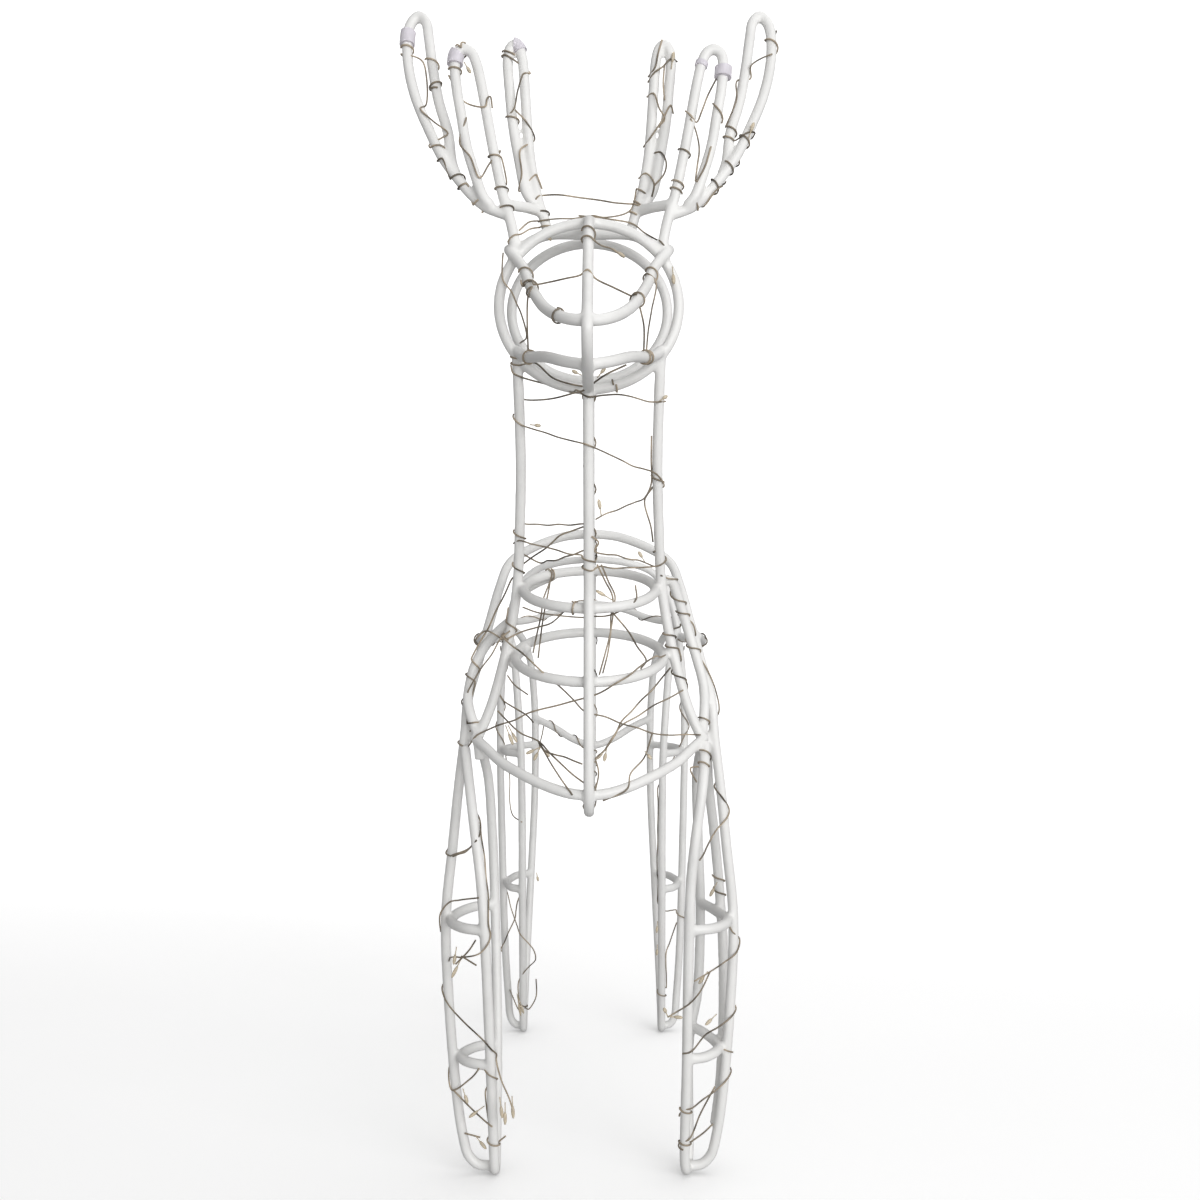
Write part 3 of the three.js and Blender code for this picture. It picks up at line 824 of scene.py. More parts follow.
# the runs of the lead, each a list of stops in the order in which it is wound: a stop is a turn or
# a touch on a rod, or a free point in millimetres
STRANDS = [
    # over the crown, between the antlers
    [
        (LEFT_INNER, 731, 100), (LEFT_INNER, 736, 180), (LEFT_INNER, 740, 270), (LEFT_INNER, 742, 0),
        (-22, -44, 741), (8, -44, 737), (RIGHT_INNER, 735, 180), (RIGHT_INNER, 735, 727, 1.3, 180),
    ],
    [
        (LEFT_INNER, 731, 723, 1.2, 180), (-23, -42, 724), (2, -40, 727), (12, -42, 725),
        (RIGHT_INNER, 730, 180), (RIGHT_INNER, 747, 732, 1.6, 180),
    ],
    [
        (LEFT_MIDDLE, 700, 150), (LEFT_MIDDLE, 701, 180), (LEFT_MIDDLE, 703, 270),
        (LEFT_MIDDLE, 705, 0), (-43, -50, 714), (LEFT_INNER, 720, 180),
        (LEFT_INNER, 720, 713, 1.3, 180),
    ],
    [(LEFT_MIDDLE, 708, 0), (-44, -50, 719), (LEFT_INNER, 725, 180)],
    [
        (-8, -40, 727), (15, -41, 724), (RIGHT_INNER, 720, 270), (49, -54, 705),
        (RIGHT_MIDDLE, 698, 250), (RIGHT_MIDDLE, 694, 0),
    ],
    # down each antler
    [
        (LEFT_OUTER, 856, 851, 1.0, 180), (-125, -36, 844), (-121, -38, 830), (-121, -42, 808),
        (LEFT_OUTER, 803, 270), (-115, -48, 794), (LEFT_OUTER, 0.904, 270), (-108, -50, 781),
        (LEFT_OUTER, 778, 180), (LEFT_OUTER, 776, 764, 1.2, 180), (LEFT_OUTER, 752, 742, 1.3, 180),
        (LEFT_OUTER, 732, 727, 1.0, 180),
    ],
    [(LEFT_OUTER, 0.711, 180), (LEFT_OUTER, 0.711, 0.735, 0.6, 180)],
    [(LEFT_OUTER, 0.783, 0.774, 0.6, 180), (LEFT_OUTER, 0.774, 0.793, 0.8, 0)],
    [
        (LEFT_MIDDLE, 0.583, 0.554, 0.8, 180), (LEFT_MIDDLE, 0.636, 0.653, 1.0, 180),
        (LEFT_MIDDLE, 0.728, 0), (LEFT_MIDDLE, 800, 270), (LEFT_MIDDLE, 806, 300), (-72, -58, 808),
        (LEFT_MIDDLE, 800, 0),
    ],
    [
        (-89, -60, 792), (LEFT_MIDDLE, 0.824, 200), (-86, -64, 762), (-79, -66, 746),
        (LEFT_MIDDLE, 768, 762, 1.0, 0), (LEFT_MIDDLE, 744, 738, 1.0, 0),
        (LEFT_MIDDLE, 727, 721, 1.0, 180),
    ],
    [
        (LEFT_INNER, 0.581, 0.596, 1.2, 180), (LEFT_INNER, 835, 0), (LEFT_INNER, 833, 270),
        (-53, -40, 820), (-56, -40, 806), (LEFT_INNER, 0.759, 180),
        (LEFT_INNER, 0.759, 0.778, 0.7, 180),
    ],
    [
        (-55, -41, 805), (LEFT_INNER, 796, 270), (LEFT_INNER, 785, 0), (-51, -42, 775),
        (LEFT_INNER, 0.917, 270), (LEFT_INNER, 0.951, 180), (LEFT_INNER, 757, 300), (-38, -40, 755),
        (LEFT_INNER, 747, 0),
    ],
    [
        (RIGHT_OUTER, 870, 850, 1.3, 0), (RIGHT_OUTER, 847, 270), (120, -40, 838),
        (RIGHT_OUTER, 0.759, 0), (RIGHT_OUTER, 0.771, 200), (108, -50, 808), (RIGHT_OUTER, 0.884, 180),
        (RIGHT_OUTER, 0.884, 0.915, 1.4, 180), (116, -52, 784), (RIGHT_OUTER, 788, 0),
        (RIGHT_OUTER, 786, 776, 1.3, 0), (RIGHT_OUTER, 764, 756, 1.2, 0),
    ],
    [
        (RIGHT_OUTER, 750, 740, 1.3, 0), (97, -60, 742), (92, -62, 738), (RIGHT_OUTER, 733, 0),
        (RIGHT_OUTER, 732, 728, 1.0, 0),
    ],
    [
        (RIGHT_MIDDLE, 0.666, 180), (86, -60, 807), (82, -62, 796), (RIGHT_MIDDLE, 791, 0),
        (RIGHT_MIDDLE, 793, 270), (RIGHT_MIDDLE, 798, 180),
    ],
    [(RIGHT_MIDDLE, 0.733, 200), (RIGHT_MIDDLE, 0.733, 0.772, 0.5, 200)],
    [(RIGHT_MIDDLE, 791, 270), (RIGHT_MIDDLE, 786, 0), (80, -62, 768), (77, -64, 744)],
    [(RIGHT_MIDDLE, 0.843, 270), (RIGHT_MIDDLE, 0.897, 270), (RIGHT_MIDDLE, 0.938, 240)],
    [(RIGHT_MIDDLE, 769, 765, 0.7, 170)],
    [(RIGHT_MIDDLE, 745, 737, 1.5, 180)],
    [
        (RIGHT_INNER, 0.44, 180), (RIGHT_INNER, 0.46, 270), (RIGHT_INNER, 0.5, 280),
        (RIGHT_INNER, 0.54, 300),
    ],
    [
        (RIGHT_INNER, 828, 180), (RIGHT_INNER, 834, 270), (54, -40, 837), (RIGHT_INNER, 0.608, 270),
        (RIGHT_INNER, 0.608, 0),
    ],
    [(56, -38, 840), (55, -39, 825), (56, -39, 813)],
    [
        (RIGHT_INNER, 817, 180), (RIGHT_INNER, 818, 270), (52, -41, 806), (56, -40, 799),
        (RIGHT_INNER, 0.79, 180),
    ],
    [
        (RIGHT_INNER, 779, 180), (RIGHT_INNER, 785, 270), (54, -42, 797), (RIGHT_INNER, 0.735, 300),
        (RIGHT_INNER, 0.75, 0),
    ],
    [
        (RIGHT_INNER, 0.86, 200), (RIGHT_INNER, 0.86, 270), (57, -42, 766), (55.5, -43, 757),
        (RIGHT_INNER, 0.949, 270),
    ],
    [(RIGHT_INNER, 755, 180), (RIGHT_INNER, 758, 270), (48, -43, 750), (46.5, -43, 740)],
    # over the face
    [("face_rod", 697, 683, 1.4, 180), (16, -85, 689), (25, -71, 687)],
    [
        ("muzzle_rod", 672, 663, 1.0, 180), ("muzzle_rod", 656, 180), ("muzzle_rod", 654, 270),
        (-36, -128, 652), ("face_rod", 653, 180), ("face_rod", 652, 270), ("face_rod", 650, 0),
        ("muzzle_rod", 0.705, 200), ("muzzle_rod", 0.705, 0.69, 1.2, 200),
    ],
    [
        ("muzzle_rod", 657, 647, 1.2, 180), ("muzzle_rod", 645, 180), (-42, -112, 628),
        ("jaw_rod", 0.135, 270), ("jaw_rod", 0.13, 0.16, 1.2, 270),
    ],
    [
        ("muzzle_rod", 0.715, 90), (38, -118, 626), ("jaw_rod", 0.815, 270),
        ("jaw_rod", 0.815, 0.835, 1.2, 270),
    ],
    [
        ("muzzle_rod", 0.87, 0.83, 1.2, 180), ("muzzle_rod", 0.825, 0), (44, -98, 642),
        ("jaw_rod", 0.84, 270), ("jaw_rod", 0.84, 0.855, 0.9, 270),
    ],
    [("muzzle_rod", 0.415, 0.425, 1.0, 270)],
    # round the left of the head and under it
    [
        (-61.5, -72, 690), (-62, -72, 684), (-61.5, -72.5, 670), (-56, -70, 663), (-50, -48, 652),
        (-47, -30, 640), ("nape_ring", 0.585, 270),
    ],
    [
        (LEFT_NECK, 617, 611, 1.3, 180), (-39, -72, 611), (-26, -73, 600), (-13, -73, 595.5),
        (-4, -72, 594),
    ],
    [(LEFT_NECK, 611, 180), (LEFT_NECK, 606, 225), (LEFT_NECK, 603, 300), (-31, -62, 597.5)],
    [
        (LEFT_NECK, 588, 90), (LEFT_NECK, 587, 0), (-25, -80, 584), (-12, -100, 583.5),
        (-2, -116, 583.5), (6, -124, 588), (13, -132, 591), ("jaw_rod", 0.68, 90),
    ],
    [
        (-14, -73, 590), (-8, -100, 586), (NECK_FRONT, 580, 270), (20, -100, 583),
        (RIGHT_NECK, 586, 270), (RIGHT_NECK, 586, 0),
    ],
    [("face_rod", 0.865, 0.875, 1.0, 270)],
    [("head_ring", 0.805, 0.81, 1.0, 270)],
    # down the neck
    [
        (LEFT_NECK, 577, 570, 0.35, 160), (NECK_FRONT, 549, 200), (NECK_FRONT, 548, 270),
        (RIGHT_NECK, 536, 250), (RIGHT_NECK, 531, 310), (RIGHT_NECK, 526, 0), (RIGHT_NECK, 524, 60),
    ],
    [
        (RIGHT_NECK, 562, 180), (RIGHT_NECK, 545, 190), (RIGHT_NECK, 528, 180), (41, -45, 517),
        (27, -66, 509), (12, -88, 501), (NECK_FRONT, 497, 0),
    ],
    [(RIGHT_NECK, 534, 524, 1.0, 180), (41, -44, 515), (46, -36, 496), (RIGHT_NECK, 486, 180)],
    [
        (LEFT_NECK, 499, 90), (LEFT_NECK, 499, 0), (NECK_FRONT, 494, 180), (NECK_FRONT, 493, 90),
        (-21, -60, 488), (-33, -35, 480), (LEFT_NECK, 468, 60),
    ],
    [
        (LEFT_NECK, 494, 484, 1.0, 160), (LEFT_NECK, 488, 270), (NECK_FRONT, 472, 180),
        (NECK_FRONT, 471, 462, 1.3, 180), (8, -70, 465), (26, -50, 465), (RIGHT_NECK, 470, 270),
        (RIGHT_NECK, 472, 480, 0.7, 330),
    ],
    [
        (NECK_FRONT, 486, 300), (7, -84, 481), (NECK_FRONT, 475, 30), (20, -55, 474), (38, -22, 472),
        (RIGHT_NECK, 468, 180),
    ],
    [(LEFT_NECK, 476, 60), (-38, -10, 471), (-18, -50, 473), (NECK_FRONT, 475, 150)],
    # inside the collar
    [(6, -74, 466), (17, -60, 444), (17.5, -58, 432), (12.5, -61, 405), (7.5, -70, 387)],
    [(9, -73, 466), (19, -60, 443), (16, -57, 430), (14, -60, 404), (10, -68, 388)],
    [("neck_collar", 0.36, 0.37, 1.2, 270), (-37, 20, 443), (-38, 15, 432), (-44, 5, 402)],
    [("neck_collar", 0.35, 180), (-34, 18, 443), (-36, 14, 432), (-40, 5, 398)],
    [
        (-51, -12, 437), (-40, -16, 433), (-28, -20, 431), (-5, -22, 429), (18, -56, 431),
        (24, -62, 434), (34, -60, 441), (34, -52, 452),
    ],
    [(18, -56, 431), (29, -50, 418), (42, -40, 398), ("chest_hoop", 0.88, 270)],
    [
        ("neck_collar", 0.72, 0.73, 1.2, 0), (-14, -62, 436), (-30, -30, 424), (-52, -16, 418),
        (-64, -20, 412),
    ],
    # across the chest
    [
        (LEFT_SHOULDER, 421, 300), (-66, -22, 415), (-50, -50, 403), (-39, -68, 394), (-21, -62, 378),
        (-3, -60, 360), (12, -58, 356), (47, -44, 343), (RIGHT_NECK, 340, 270),
    ],
    [
        (-60, -22, 419), (-67, -22, 413), (-83, -11, 390), (-93, -8, 373), (LEFT_LEG_SIDE, 368, 270),
        (LEFT_LEG_SIDE, 364, 180), (LEFT_LEG_SIDE, 360, 130),
    ],
    [
        (LEFT_LEG_SIDE, 338, 325, 1.2, 0), (-90, -16, 334), (-85, -22, 340), (-77, -22, 344),
        (-68, -26, 348), (-45, -45, 358), (-14, -62, 367), (6, -68, 373), (19, -82, 381),
        (37, -68, 393), (49, -50, 400), (RIGHT_NECK, 402, 200),
    ],
    [(RIGHT_NECK, 392, 180), (24, -45, 352), (13, -60, 334), (NECK_FRONT, 328, 0)],
    [(RIGHT_NECK, 374, 270), (49, -25, 363), (24, -46, 349), (12, -62, 333)],
    [(47, -38, 343), (41, -46, 326), (30, -64, 315), ("chest_bow", 0.62, 270), (10, -76, 297)],
    [(NECK_FRONT, 328, 350), (7, -84, 318), (NECK_FRONT, 305, 0)],
    [(-70, -14, 358), (-53, -20, 342), (-38, -30, 336), (-21, -55, 322), (-3, -72, 309)],
    [(-38, -30, 336), (-33, -40, 330), (-18, -60, 327), (NECK_FRONT, 324, 180)],
    [(-38, -30, 335), (-28, -55, 322), (-19, -74, 311), ("chest_bow", 0.45, 270)],
    [(-69, -12, 371), (-66, -12, 366), (-47, -25, 355), (-42, -28, 350)],
    [(-63, -8, 385), (-58, -8, 378), (-47, -10, 370)],
    # round the shoulders
    [(LEFT_LEG_SIDE, 408, 180), (-88, 4, 413), (-80, -4, 419), (-72, -12, 416), (-66, -20, 412)],
    [(LEFT_NECK, 436, 180), (LEFT_NECK, 428, 200), (LEFT_NECK, 425, 412, 1.2, 200)],
    [
        (LEFT_NECK, 470, 458, 1.0, 160), (LEFT_SHOULDER, 396, 380, 1.4, 180),
        (LEFT_SHOULDER, 350, 344, 1.0, 180),
    ],
    [
        (RIGHT_NECK, 462, 270), (RIGHT_SHOULDER, 0.12, 0.3, 1.4, 0), (RIGHT_SHOULDER, 424, 0),
        (RIGHT_SHOULDER, 415, 400, 1.2, 0), (RIGHT_LEG_SIDE, 398, 250), (RIGHT_LEG_SIDE, 385, 300),
        (RIGHT_LEG_SIDE, 372, 0), (RIGHT_LEG_SIDE, 356, 0), (RIGHT_LEG_SIDE, 348, 100),
    ],
    [
        (RIGHT_SHOULDER, 352, 346, 1.0, 180), (RIGHT_LEG_LOOP, 0.01, 0.03, 1.4, 180), (76, -30, 316),
        (RIGHT_LEG_LOOP, 306, 180),
    ],
    [
        (RIGHT_SHOULDER, 436, 424, 1.0, 180), (RIGHT_NECK, 418, 404, 1.5, 180),
        (RIGHT_NECK, 396, 380, 1.0, 0),
    ],
    # down the left front leg
    [
        (LEFT_LEG_SIDE, 252, 120), (LEFT_LEG_SIDE, 247, 180), (LEFT_LEG_SIDE, 246, 250),
        (-102, -22, 250), (-89, -34, 257), (LEFT_LEG_LOOP, 266, 320), (LEFT_LEG_LOOP, 276, 0),
        (LEFT_LEG_LOOP, 284, 60),
    ],
    [(-104, -14, 247), (-92, -34, 254), (LEFT_LEG_LOOP, 262, 280)],
    [
        (LEFT_LEG_SIDE, 186, 150), (LEFT_LEG_SIDE, 193, 180), (-114, -8, 203), (-108, -12, 211),
        (-97, -30, 217), (LEFT_LEG_LOOP, 222, 240),
    ],
    [
        (LEFT_LEG_LOOP, 275, 350), (LEFT_LEG_LOOP, 250, 10), (LEFT_LEG_LOOP, 222, 350),
        (LEFT_LEG_LOOP, 202, 320), (LEFT_LEG_LOOP, 194, 340), (-74, -46, 189), (-80, -50, 182),
        (-94, -38, 176), (-106, -14, 170), (LEFT_LEG_SIDE, 165, 300),
    ],
    [(-84, -44, 190), (-90, -34, 180), (-101, -22, 167)],
    [(-96, -30, 175), (-84, -38, 170)],
    [
        (LEFT_LEG_SIDE, 149, 110), (LEFT_LEG_SIDE, 144, 170), (LEFT_LEG_SIDE, 139, 220),
        (-108, -10, 133), (-96, -20, 123.5), (-79, -32, 112), (LEFT_LEG_LOOP, 106, 290),
        (LEFT_LEG_LOOP, 100, 0), (LEFT_LEG_LOOP, 94, 30), (-66, -30, 82), (-60, -30, 68),
        (-57, -30, 58),
    ],
    [
        (LEFT_LEG_SIDE, 86, 130), (LEFT_LEG_SIDE, 76, 180), (LEFT_LEG_SIDE, 66, 230), (-91, -16, 78),
        (-84, -26, 88), ("left_front_leg_lower_rung", 0.12, 90),
    ],
    [(LEFT_LEG_SIDE, 66, 250), (-91, -12, 55), (LEFT_LEG_LOOP, 46, 220), (LEFT_LEG_LOOP, 44, 270)],
    [(LEFT_LEG_LOOP, 90, 70, 1.0, 180), (LEFT_LEG_LOOP, 32, 26, 0.8, 120), (-64, -14, 34)],
    [(LEFT_LEG_SIDE, 32, 300), (-84, -6, 30)],
    # down the right front leg
    [
        (RIGHT_LEG_SIDE, 303, 120), (RIGHT_LEG_SIDE, 299, 180), (RIGHT_LEG_SIDE, 291, 270),
        (RIGHT_LEG_SIDE, 281, 0), (RIGHT_LEG_SIDE, 276, 310), (97, -8, 266), (89, -22, 256),
        (RIGHT_LEG_LOOP, 250, 0),
    ],
    [("right_front_leg_brace", 226, 208, 1.6, 180)],
    [
        (RIGHT_LEG_SIDE, 195, 160), (RIGHT_LEG_SIDE, 188, 250), (RIGHT_LEG_SIDE, 181, 0),
        (RIGHT_LEG_SIDE, 172, 300), (91, -25, 162), (RIGHT_LEG_LOOP, 158, 0),
    ],
    [
        (91, -25, 162), (82, -44, 152), (RIGHT_LEG_LOOP, 143, 290), (RIGHT_LEG_LOOP, 139, 230),
        (58, -45, 133.5),
    ],
    [
        (RIGHT_LEG_SIDE, 133, 80), (RIGHT_LEG_SIDE, 128, 0), (RIGHT_LEG_SIDE, 123, 290), (88, -20, 113),
        (RIGHT_LEG_LOOP, 104, 300), (RIGHT_LEG_LOOP, 102, 220),
    ],
    [(RIGHT_LEG_SIDE, 100, 92, 1.0, 90)],
    [
        (RIGHT_LEG_SIDE, 84, 80), (RIGHT_LEG_SIDE, 80, 0), (RIGHT_LEG_SIDE, 74, 290), (96, -10, 67),
        (RIGHT_LEG_LOOP, 58, 300), (RIGHT_LEG_LOOP, 57, 50, 1.0, 180),
    ],
    [(96, -9, 70), (85, -10, 50), (RIGHT_LEG_LOOP, 33, 300), (RIGHT_LEG_LOOP, 30, 25, 1.2, 180)],
    [(RIGHT_LEG_LOOP, 29, 0), (88, -4, 33), (RIGHT_LEG_SIDE, 38, 200)],
    # along the back and the barrel
    [("neck_back_rod", 600, 480, 3.5, 0), ("spine_rod", 0.1, 0.95, 7.5, 0)],
    [("left_side_rail", 0.12, 0.95, 4.5, 0), (LEFT_HIND_SIDE, 405, 0)],
    [("right_side_rail", 0.12, 0.95, 4.5, 0), (RIGHT_HIND_SIDE, 405, 180)],
    [
        ("belly_rod", 0.04, 0.97, 6.0, 90), ("groin_bow", 0.5, 0.08, 2.0, 90),
        (LEFT_HIND_LOOP, 0.78, 180),
    ],
    # down the left hind leg
    [
        (LEFT_HIND_SIDE, 405, 300, 2.5, 180), (-85, 340, 268), (-85, 340, 245), (-82, 334, 233),
        (LEFT_HIND_LOOP, 228, 270),
    ],
    [
        (LEFT_HIND_SIDE, 150, 60), (LEFT_HIND_SIDE, 143, 0), (-80, 344, 123), (-73, 320, 113),
        (-60, 326, 96), (-58, 330, 85), (LEFT_HIND_LOOP, 70, 290), (LEFT_HIND_LOOP, 56, 180),
        (LEFT_HIND_LOOP, 40, 190), (LEFT_HIND_LOOP, 34, 26, 1.0, 190),
    ],
    [
        (LEFT_HIND_LOOP, 156, 90), (LEFT_HIND_LOOP, 146, 180), (-80, 344, 124), (-88, 355, 106),
        (LEFT_HIND_SIDE, 95, 270), (LEFT_HIND_SIDE, 86, 190), (LEFT_HIND_SIDE, 80, 100),
    ],
    [(LEFT_HIND_SIDE, 44, 300), (-82, 345, 42), (-77, 336, 34), (LEFT_HIND_LOOP, 28, 220)],
    [(LEFT_HIND_LOOP, 30, 300), (-64, 334, 34), (-58, 340, 44), (-58, 342, 62)],
    # down the right hind leg
    [
        (RIGHT_HIND_SIDE, 405, 320, 2.0, 0), (RIGHT_HIND_LOOP, 262, 180), (RIGHT_HIND_LOOP, 180, 180),
        (68, 340, 164), (68, 342, 140), (75, 345, 132), (RIGHT_HIND_SIDE, 127, 180),
        (RIGHT_HIND_SIDE, 125, 112, 1.0, 180), (RIGHT_HIND_LOOP, 90, 0),
        (RIGHT_HIND_LOOP, 50, 40, 1.2, 0),
    ],
    # over the rump
    [("rump_rod", 0.05, 0.9, 4.5, 0)],
    [("rump_hoop", 0.05, 0.95, 4.0, 90)],
]


# bulbs on the lead, from the foot of each stem to the bulb's tip, in millimetres
BULBS = [
    ((-43, -57, 569), (-35, -58, 568)), ((9, -90, 499), (7, -92, 511)),
    ((51, -63, 585), (57, -64, 589)), ((17, -60, 441), (5, -62, 448)), ((42, -20, 471), (37, -22, 479)),
    ((-64, -14, 347), (-58, -16, 332)), ((-62, -14, 347), (-55, -16, 334)),
    ((-37, -22, 331), (-48, -24, 326)), ((-37, -22, 331), (-42, -24, 321)),
    ((-36, -24, 331), (-30, -26, 324)), ((13, -62, 333), (5, -80, 327)),
    ((13, -62, 334), (11, -74, 325)), ((41, -45, 330), (46, -46, 324)),
    ((17, -82, 690), (26, -71, 687)), ((-34, -43, 716), (-28, -44, 707)),
    ((60, -72, 680), (61, -73, 667)), ((-5, -82, 600), (-12, -84, 603)),
    ((6, -88, 597), (12, -90, 604)), ((-100, -26, 181), (-102, -28, 168)),
    ((-96, -26, 173), (-104, -24, 157)), ((-67, -32, 70), (-65, -32, 54)),
    ((-63, -32, 66), (-63, -32, 49)), ((-58, -30, 70), (-57, -30, 53)),
    ((-80, -14, 57), (-92, -14, 48)), ((-97, -10, 69), (-93, -12, 58)), ((-88, -7, 32), (-79, -9, 22)),
    ((-77, 330, 50), (-73, 330, 27)), ((-75, 328, 46), (-70, 328, 30)),
    ((-61, 414, 159), (-59, 411, 150)), ((89, -28, 163), (82, -30, 154)),
    ((97, -14, 127), (88, -16, 119)), ((58, -45, 134), (69, -48, 134)),
    ((58, -45, 134), (55, -47, 141)), ((100, 16, 222), (94, 14, 211)), ((67, 331, 124), (66, 330, 112)),
    ((67, 331, 100), (66, 330, 89)), ((-91, -58, 833), (-86, -60, 824)),
    ((117, -52, 780), (121, -51, 792)), ((61, -37, 837), (63, -37, 850)),
]


def strand_line(stops, distance, dice):
    """The lead's line through the stops of a run; the free stretches waver a little."""
    points = []
    for stop in stops:
        if isinstance(stop[0], str) and len(stop) == 3:
            piece = hold(stop[0], stop[1], stop[2], distance)
        elif isinstance(stop[0], str):
            piece = wraps(*stop, distance)
        else:
            piece = [to_metres(stop)]
        if points:
            start = points[-1]
            span = piece[0] - start
            count = int(span.length / (WAVER_STEP * MM))
            for i in range(1, count):
                waver = Vector([dice.uniform(-1, 1) for _ in range(3)]) * (WAVER * MM)
                sag = Vector((0, 0, -SAG * span.length)) * (i / count) * (1 - i / count)
                points.append(start + span * (i / count) + waver + sag)
        points.extend(piece)
    return smooth_line(points, 0.002)


def bulb_shape(radius):
    """A spindle-shaped bulb on a thin stem, one metre tall in all, standing up from the origin."""
    clear_selection()
    bpy.ops.mesh.primitive_cylinder_add(
        vertices=6, radius=radius * 0.32, depth=0.5, location=(0, 0, 0.25)
    )
    stem = bpy.context.object
    bpy.ops.mesh.primitive_uv_sphere_add(
        segments=10, ring_count=8, radius=radius, location=(0, 0, 0.7)
    )
    bulb = bpy.context.object
    bpy.ops.object.mode_set(mode="EDIT")
    bpy.ops.mesh.select_all(action="SELECT")
    bpy.ops.transform.resize(value=(1, 1, 0.3 / radius))
    bpy.ops.object.mode_set(mode="OBJECT")
    pick(bulb, stem)
    bpy.ops.object.join()
    bpy.ops.object.transform_apply(location=True, rotation=True, scale=True)
    return bulb


def scatter(name, shape, places):
    """One mesh of copies of a shape, each turned and set at its place."""
    source = shape.data
    mesh = bmesh.new()
    for place in places:
        copy = source.copy()
        copy.transform(place)
        mesh.from_mesh(copy)
        bpy.data.meshes.remove(copy)
    data = bpy.data.meshes.new(name)
    mesh.to_mesh(data)
    mesh.free()
    piece = bpy.data.objects.new(name, data)
    bpy.context.collection.objects.link(piece)
    bpy.data.objects.remove(shape)
    return piece


def finish_piece(piece, slot, *nodes):
    pick(piece)
    bpy.ops.object.shade_smooth()
    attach(piece, "root")
    if nodes:
        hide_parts(*nodes)


class LayFrame(bpy.types.Operator):
    """Lay every rod of the deer, fuse them and smooth the welds"""

    bl_idname = "reindeer.lay_frame"
    bl_label = "Welded frame"

    def execute(self, context):
        settings = context.scene.reindeer_frame
        keep_all_lines()
        welded = lay_rods("welded_frame", list(LINES))
        remesh = welded.modifiers.new("fuse", "REMESH")
        remesh.mode = "VOXEL"
        remesh.voxel_size = settings.mesh_step
        soften = welded.modifiers.new("soften", "SMOOTH")
        soften.factor = 0.5
        soften.iterations = 7
        thin = welded.modifiers.new("thin", "DECIMATE")
        thin.ratio = 0.23
        apply_modifiers(welded)
        for vertex in welded.data.vertices:
            vertex.co.z = max(vertex.co.z, 0.0)
        dress(welded, powder_coat(settings.coat_color))
        nodes = [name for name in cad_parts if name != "light_string"]
        finish_piece(welded, "white_coat", *nodes)
        return {"FINISHED"}


class WindLead(bpy.types.Operator):
    """Wind the lead of the light string round the rods and across the gaps"""

    bl_idname = "reindeer.wind_lead"
    bl_label = "Light string lead"

    def execute(self, context):
        settings = context.scene.reindeer_lights
        dice = random.Random(settings.seed)
        rod = context.scene.reindeer_frame.rod_diameter / 2
        radius = settings.lead_diameter / 2
        distance = rod + radius + LEAD_GAP * MM
        lines = [strand_line(stops, distance, dice) for stops in STRANDS]
        lead = tubes("light_lead", lines, radius, 1)
        dress(lead, lead_cover(settings.lead_color))
        finish_piece(lead, "lead_cover", "light_string")
        return {"FINISHED"}


class AddBulbs(bpy.types.Operator):
    """Set the small bulbs on the lead"""

    bl_idname = "reindeer.add_bulbs"
    bl_label = "Bulbs"

    def execute(self, context):
        settings = context.scene.reindeer_lights
        places = []
        for foot, tip in BULBS:
            start = to_metres(foot)
            span = to_metres(tip) - start
            turn = span.to_track_quat("Z", "Y").to_matrix().to_4x4()
            size = Matrix.Diagonal((1, 1, span.length, 1))
            places.append(Matrix.Translation(start) @ turn @ size)
        bulbs = scatter("bulbs", bulb_shape(settings.bulb_diameter / 2), places)
        dress(bulbs, bulb_resin(settings.bulb_color))
        finish_piece(bulbs, "lead_cover")
        return {"FINISHED"}


# sleeves on the rods: the rod's name, from where to where along it, and the diameter in millimetres
SLEEVES = [
    (LEFT_OUTER, 869, 858, 11.5), (LEFT_MIDDLE, 0.59, 0.622, 12), (LEFT_INNER, 0.514, 0.548, 10.5),
    (RIGHT_MIDDLE, 0.632, 0.66, 13), (RIGHT_MIDDLE, 836, 832.5, 9.6),
]


class AddSleeves(bpy.types.Operator):
    """Slip the frosted sleeves on the antlers"""

    bl_idname = "reindeer.add_sleeves"
    bl_label = "Sleeves"

    def execute(self, context):
        settings = context.scene.reindeer_lights
        pieces = []
        steps = 6
        for index, (rod, start, end, diameter) in enumerate(SLEEVES):
            first, last = sorted((line_place(rod, start), line_place(rod, end)))
            places = [first + (last - first) * i / steps for i in range(steps + 1)]
            line = [around(rod, place, 0, 0) for place in places]
            pieces.append(tubes(f"sleeve_{index}", [line], diameter / 2 * MM, 5))
        pick(*pieces)
        bpy.ops.object.join()
        sleeves = bpy.context.object
        sleeves.name = "sleeves"
        bevel = sleeves.modifiers.new("soften", "BEVEL")
        bevel.width = 0.0015
        bevel.segments = 3
        bevel.limit_method = "ANGLE"
        apply_modifiers(sleeves)
        dress(sleeves, frosted_plastic(settings.sleeve_color))
        finish_piece(sleeves, "lead_cover")
        return {"FINISHED"}


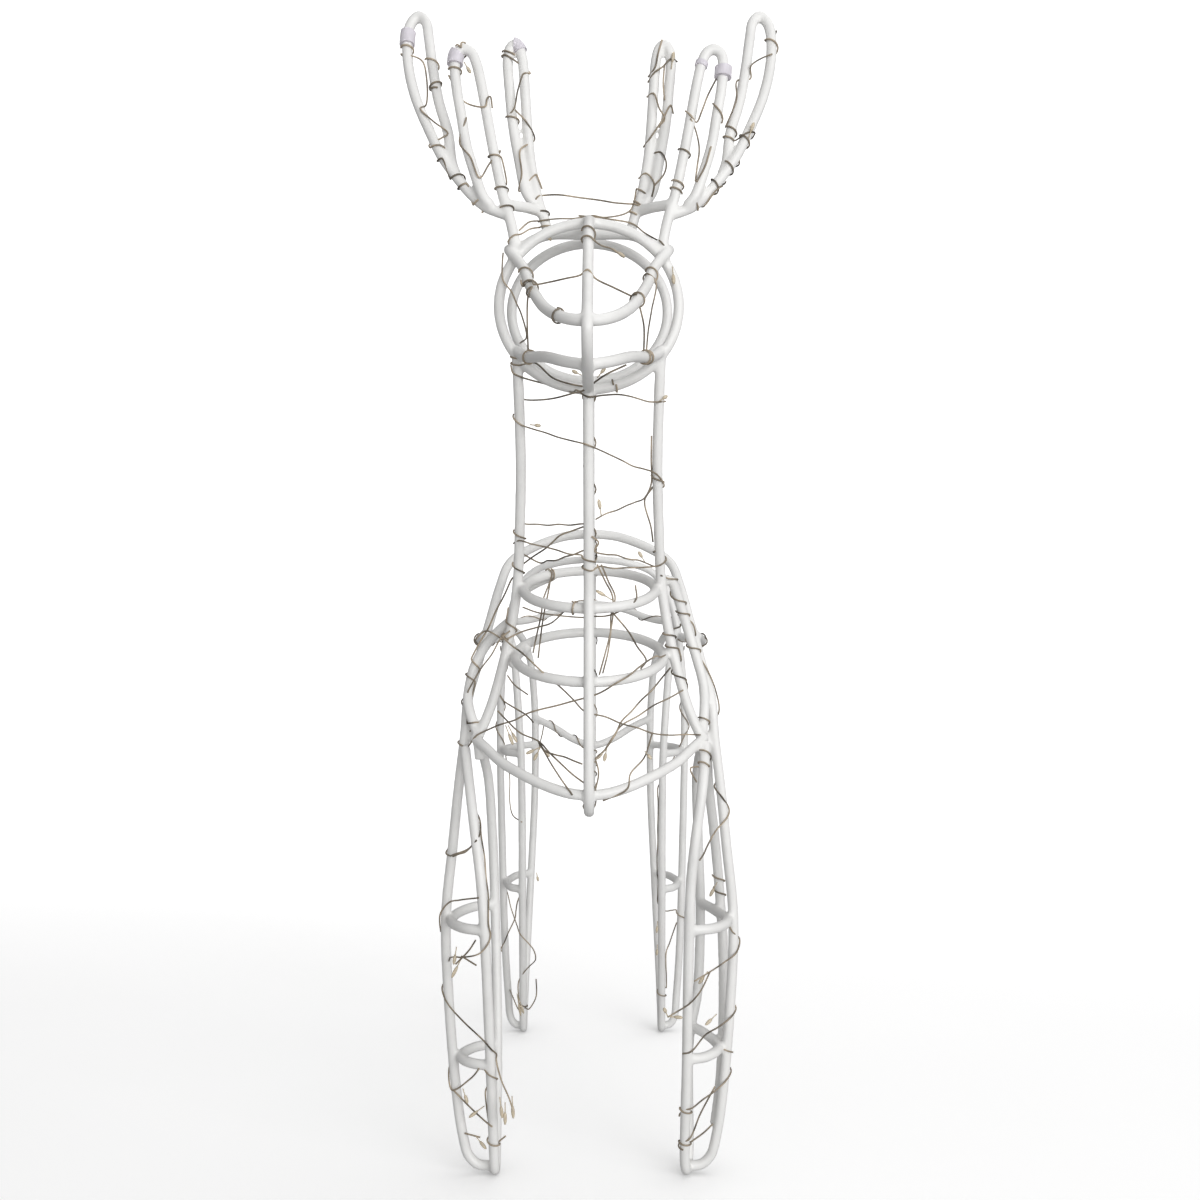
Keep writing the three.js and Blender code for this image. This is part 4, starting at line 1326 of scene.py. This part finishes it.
class SetStage(bpy.types.Operator):
    """Set the pale floor and backdrop, the lights and the camera"""

    bl_idname = "reindeer.set_stage"
    bl_label = "Stage"

    def execute(self, context):
        settings = context.scene.reindeer_stage
        self.add_sweep(settings)
        for name, (place, size, share) in LIGHTS.items():
            self.add_light(name, place, size, settings.key_power * share)
        self.set_world(settings)
        self.set_camera(context)
        return {"FINISHED"}

    def add_sweep(self, settings):
        """A floor that curves up into a backdrop."""
        clear_selection()
        bpy.ops.mesh.primitive_plane_add(size=1, location=(0, 0, 0))
        sweep = bpy.context.object
        sweep.name = "floor_sweep"
        bpy.ops.object.mode_set(mode="EDIT")
        bpy.ops.mesh.select_all(action="SELECT")
        bpy.ops.transform.resize(value=(FLOOR_WIDTH, FLOOR_DEPTH, 1))
        bpy.ops.transform.translate(value=(0, FLOOR_BACK - FLOOR_DEPTH / 2, -0.0002))
        bpy.ops.object.mode_set(mode="OBJECT")
        mesh = bmesh.new()
        mesh.from_mesh(sweep.data)
        edge = [e for e in mesh.edges if all(v.co.y > 0 for v in e.verts)]
        steps = 12
        for i in range(1, steps + 1):
            result = bmesh.ops.extrude_edge_only(mesh, edges=edge)
            moved = [v for v in result["geom"] if isinstance(v, bmesh.types.BMVert)]
            edge = [e for e in result["geom"] if isinstance(e, bmesh.types.BMEdge)]
            angle = math.radians(90 * i / steps)
            for vertex in moved:
                vertex.co.y = FLOOR_BACK + SWEEP_RADIUS * math.sin(angle)
                vertex.co.z = SWEEP_RADIUS * (1 - math.cos(angle))
        result = bmesh.ops.extrude_edge_only(mesh, edges=edge)
        for vertex in result["geom"]:
            if isinstance(vertex, bmesh.types.BMVert):
                vertex.co.z = BACKDROP_HEIGHT
        mesh.to_mesh(sweep.data)
        mesh.free()
        dress(sweep, backdrop_paper(settings.floor_color, settings.floor_glow))
        sweep.visible_diffuse = False
        sweep.visible_glossy = False
        pick(sweep)
        bpy.ops.object.shade_smooth()

    def add_light(self, name, place, size, power):
        clear_selection()
        bpy.ops.object.light_add(type="AREA", location=place)
        light = bpy.context.object
        light.name = name
        light.data.size = size
        light.data.energy = power
        aim = Vector((0, 0, AIM_HEIGHT)) - Vector(place)
        light.rotation_euler = aim.to_track_quat("-Z", "Y").to_euler()

    def set_world(self, settings):
        world = bpy.data.worlds.new("studio")
        world.use_nodes = True
        background = world.node_tree.nodes["Background"]
        background.inputs["Color"].default_value = (1.0, 1.0, 1.0, 1.0)
        background.inputs["Strength"].default_value = settings.ambient
        bpy.context.scene.world = world

    def set_camera(self, context):
        clear_selection()
        bpy.ops.object.camera_add(
            location=(CAMERA_X, FRONT_FEET_Y - CAMERA_DISTANCE, CAMERA_HEIGHT),
            rotation=(math.radians(90), 0, 0),
        )
        camera = bpy.context.object
        camera.data.sensor_width = 36.0
        camera.data.lens = CAMERA_LENS
        camera.data.shift_y = CAMERA_SHIFT
        camera.data.clip_start = 0.01
        camera.data.dof.use_dof = False
        context.scene.camera = camera
        context.scene.view_settings.view_transform = "Standard"


class ReindeerPanel(bpy.types.Panel):
    bl_idname = "VIEW3D_PT_reindeer"
    bl_label = "Reindeer"
    bl_space_type = "VIEW_3D"
    bl_region_type = "UI"
    bl_category = "Reindeer"

    def draw(self, context):
        for operator in OPERATORS:
            self.layout.operator(operator.bl_idname)


OPERATORS = (LayFrame, WindLead, AddBulbs, AddSleeves, SetStage)
SETTINGS = (FrameSettings, LightSettings, StageSettings)


def register():
    for item in (*SETTINGS, *OPERATORS, ReindeerPanel):
        bpy.utils.register_class(item)
    bpy.types.Scene.reindeer_frame = PointerProperty(type=FrameSettings)
    bpy.types.Scene.reindeer_lights = PointerProperty(type=LightSettings)
    bpy.types.Scene.reindeer_stage = PointerProperty(type=StageSettings)


def unregister():
    del bpy.types.Scene.reindeer_frame
    del bpy.types.Scene.reindeer_lights
    del bpy.types.Scene.reindeer_stage
    for item in (ReindeerPanel, *reversed(OPERATORS), *reversed(SETTINGS)):
        bpy.utils.unregister_class(item)


def main():
    register()
    bpy.ops.reindeer.lay_frame()
    bpy.ops.reindeer.wind_lead()
    bpy.ops.reindeer.add_bulbs()
    bpy.ops.reindeer.add_sleeves()
    bpy.ops.reindeer.set_stage()


if __name__ == "__main__":
    main()
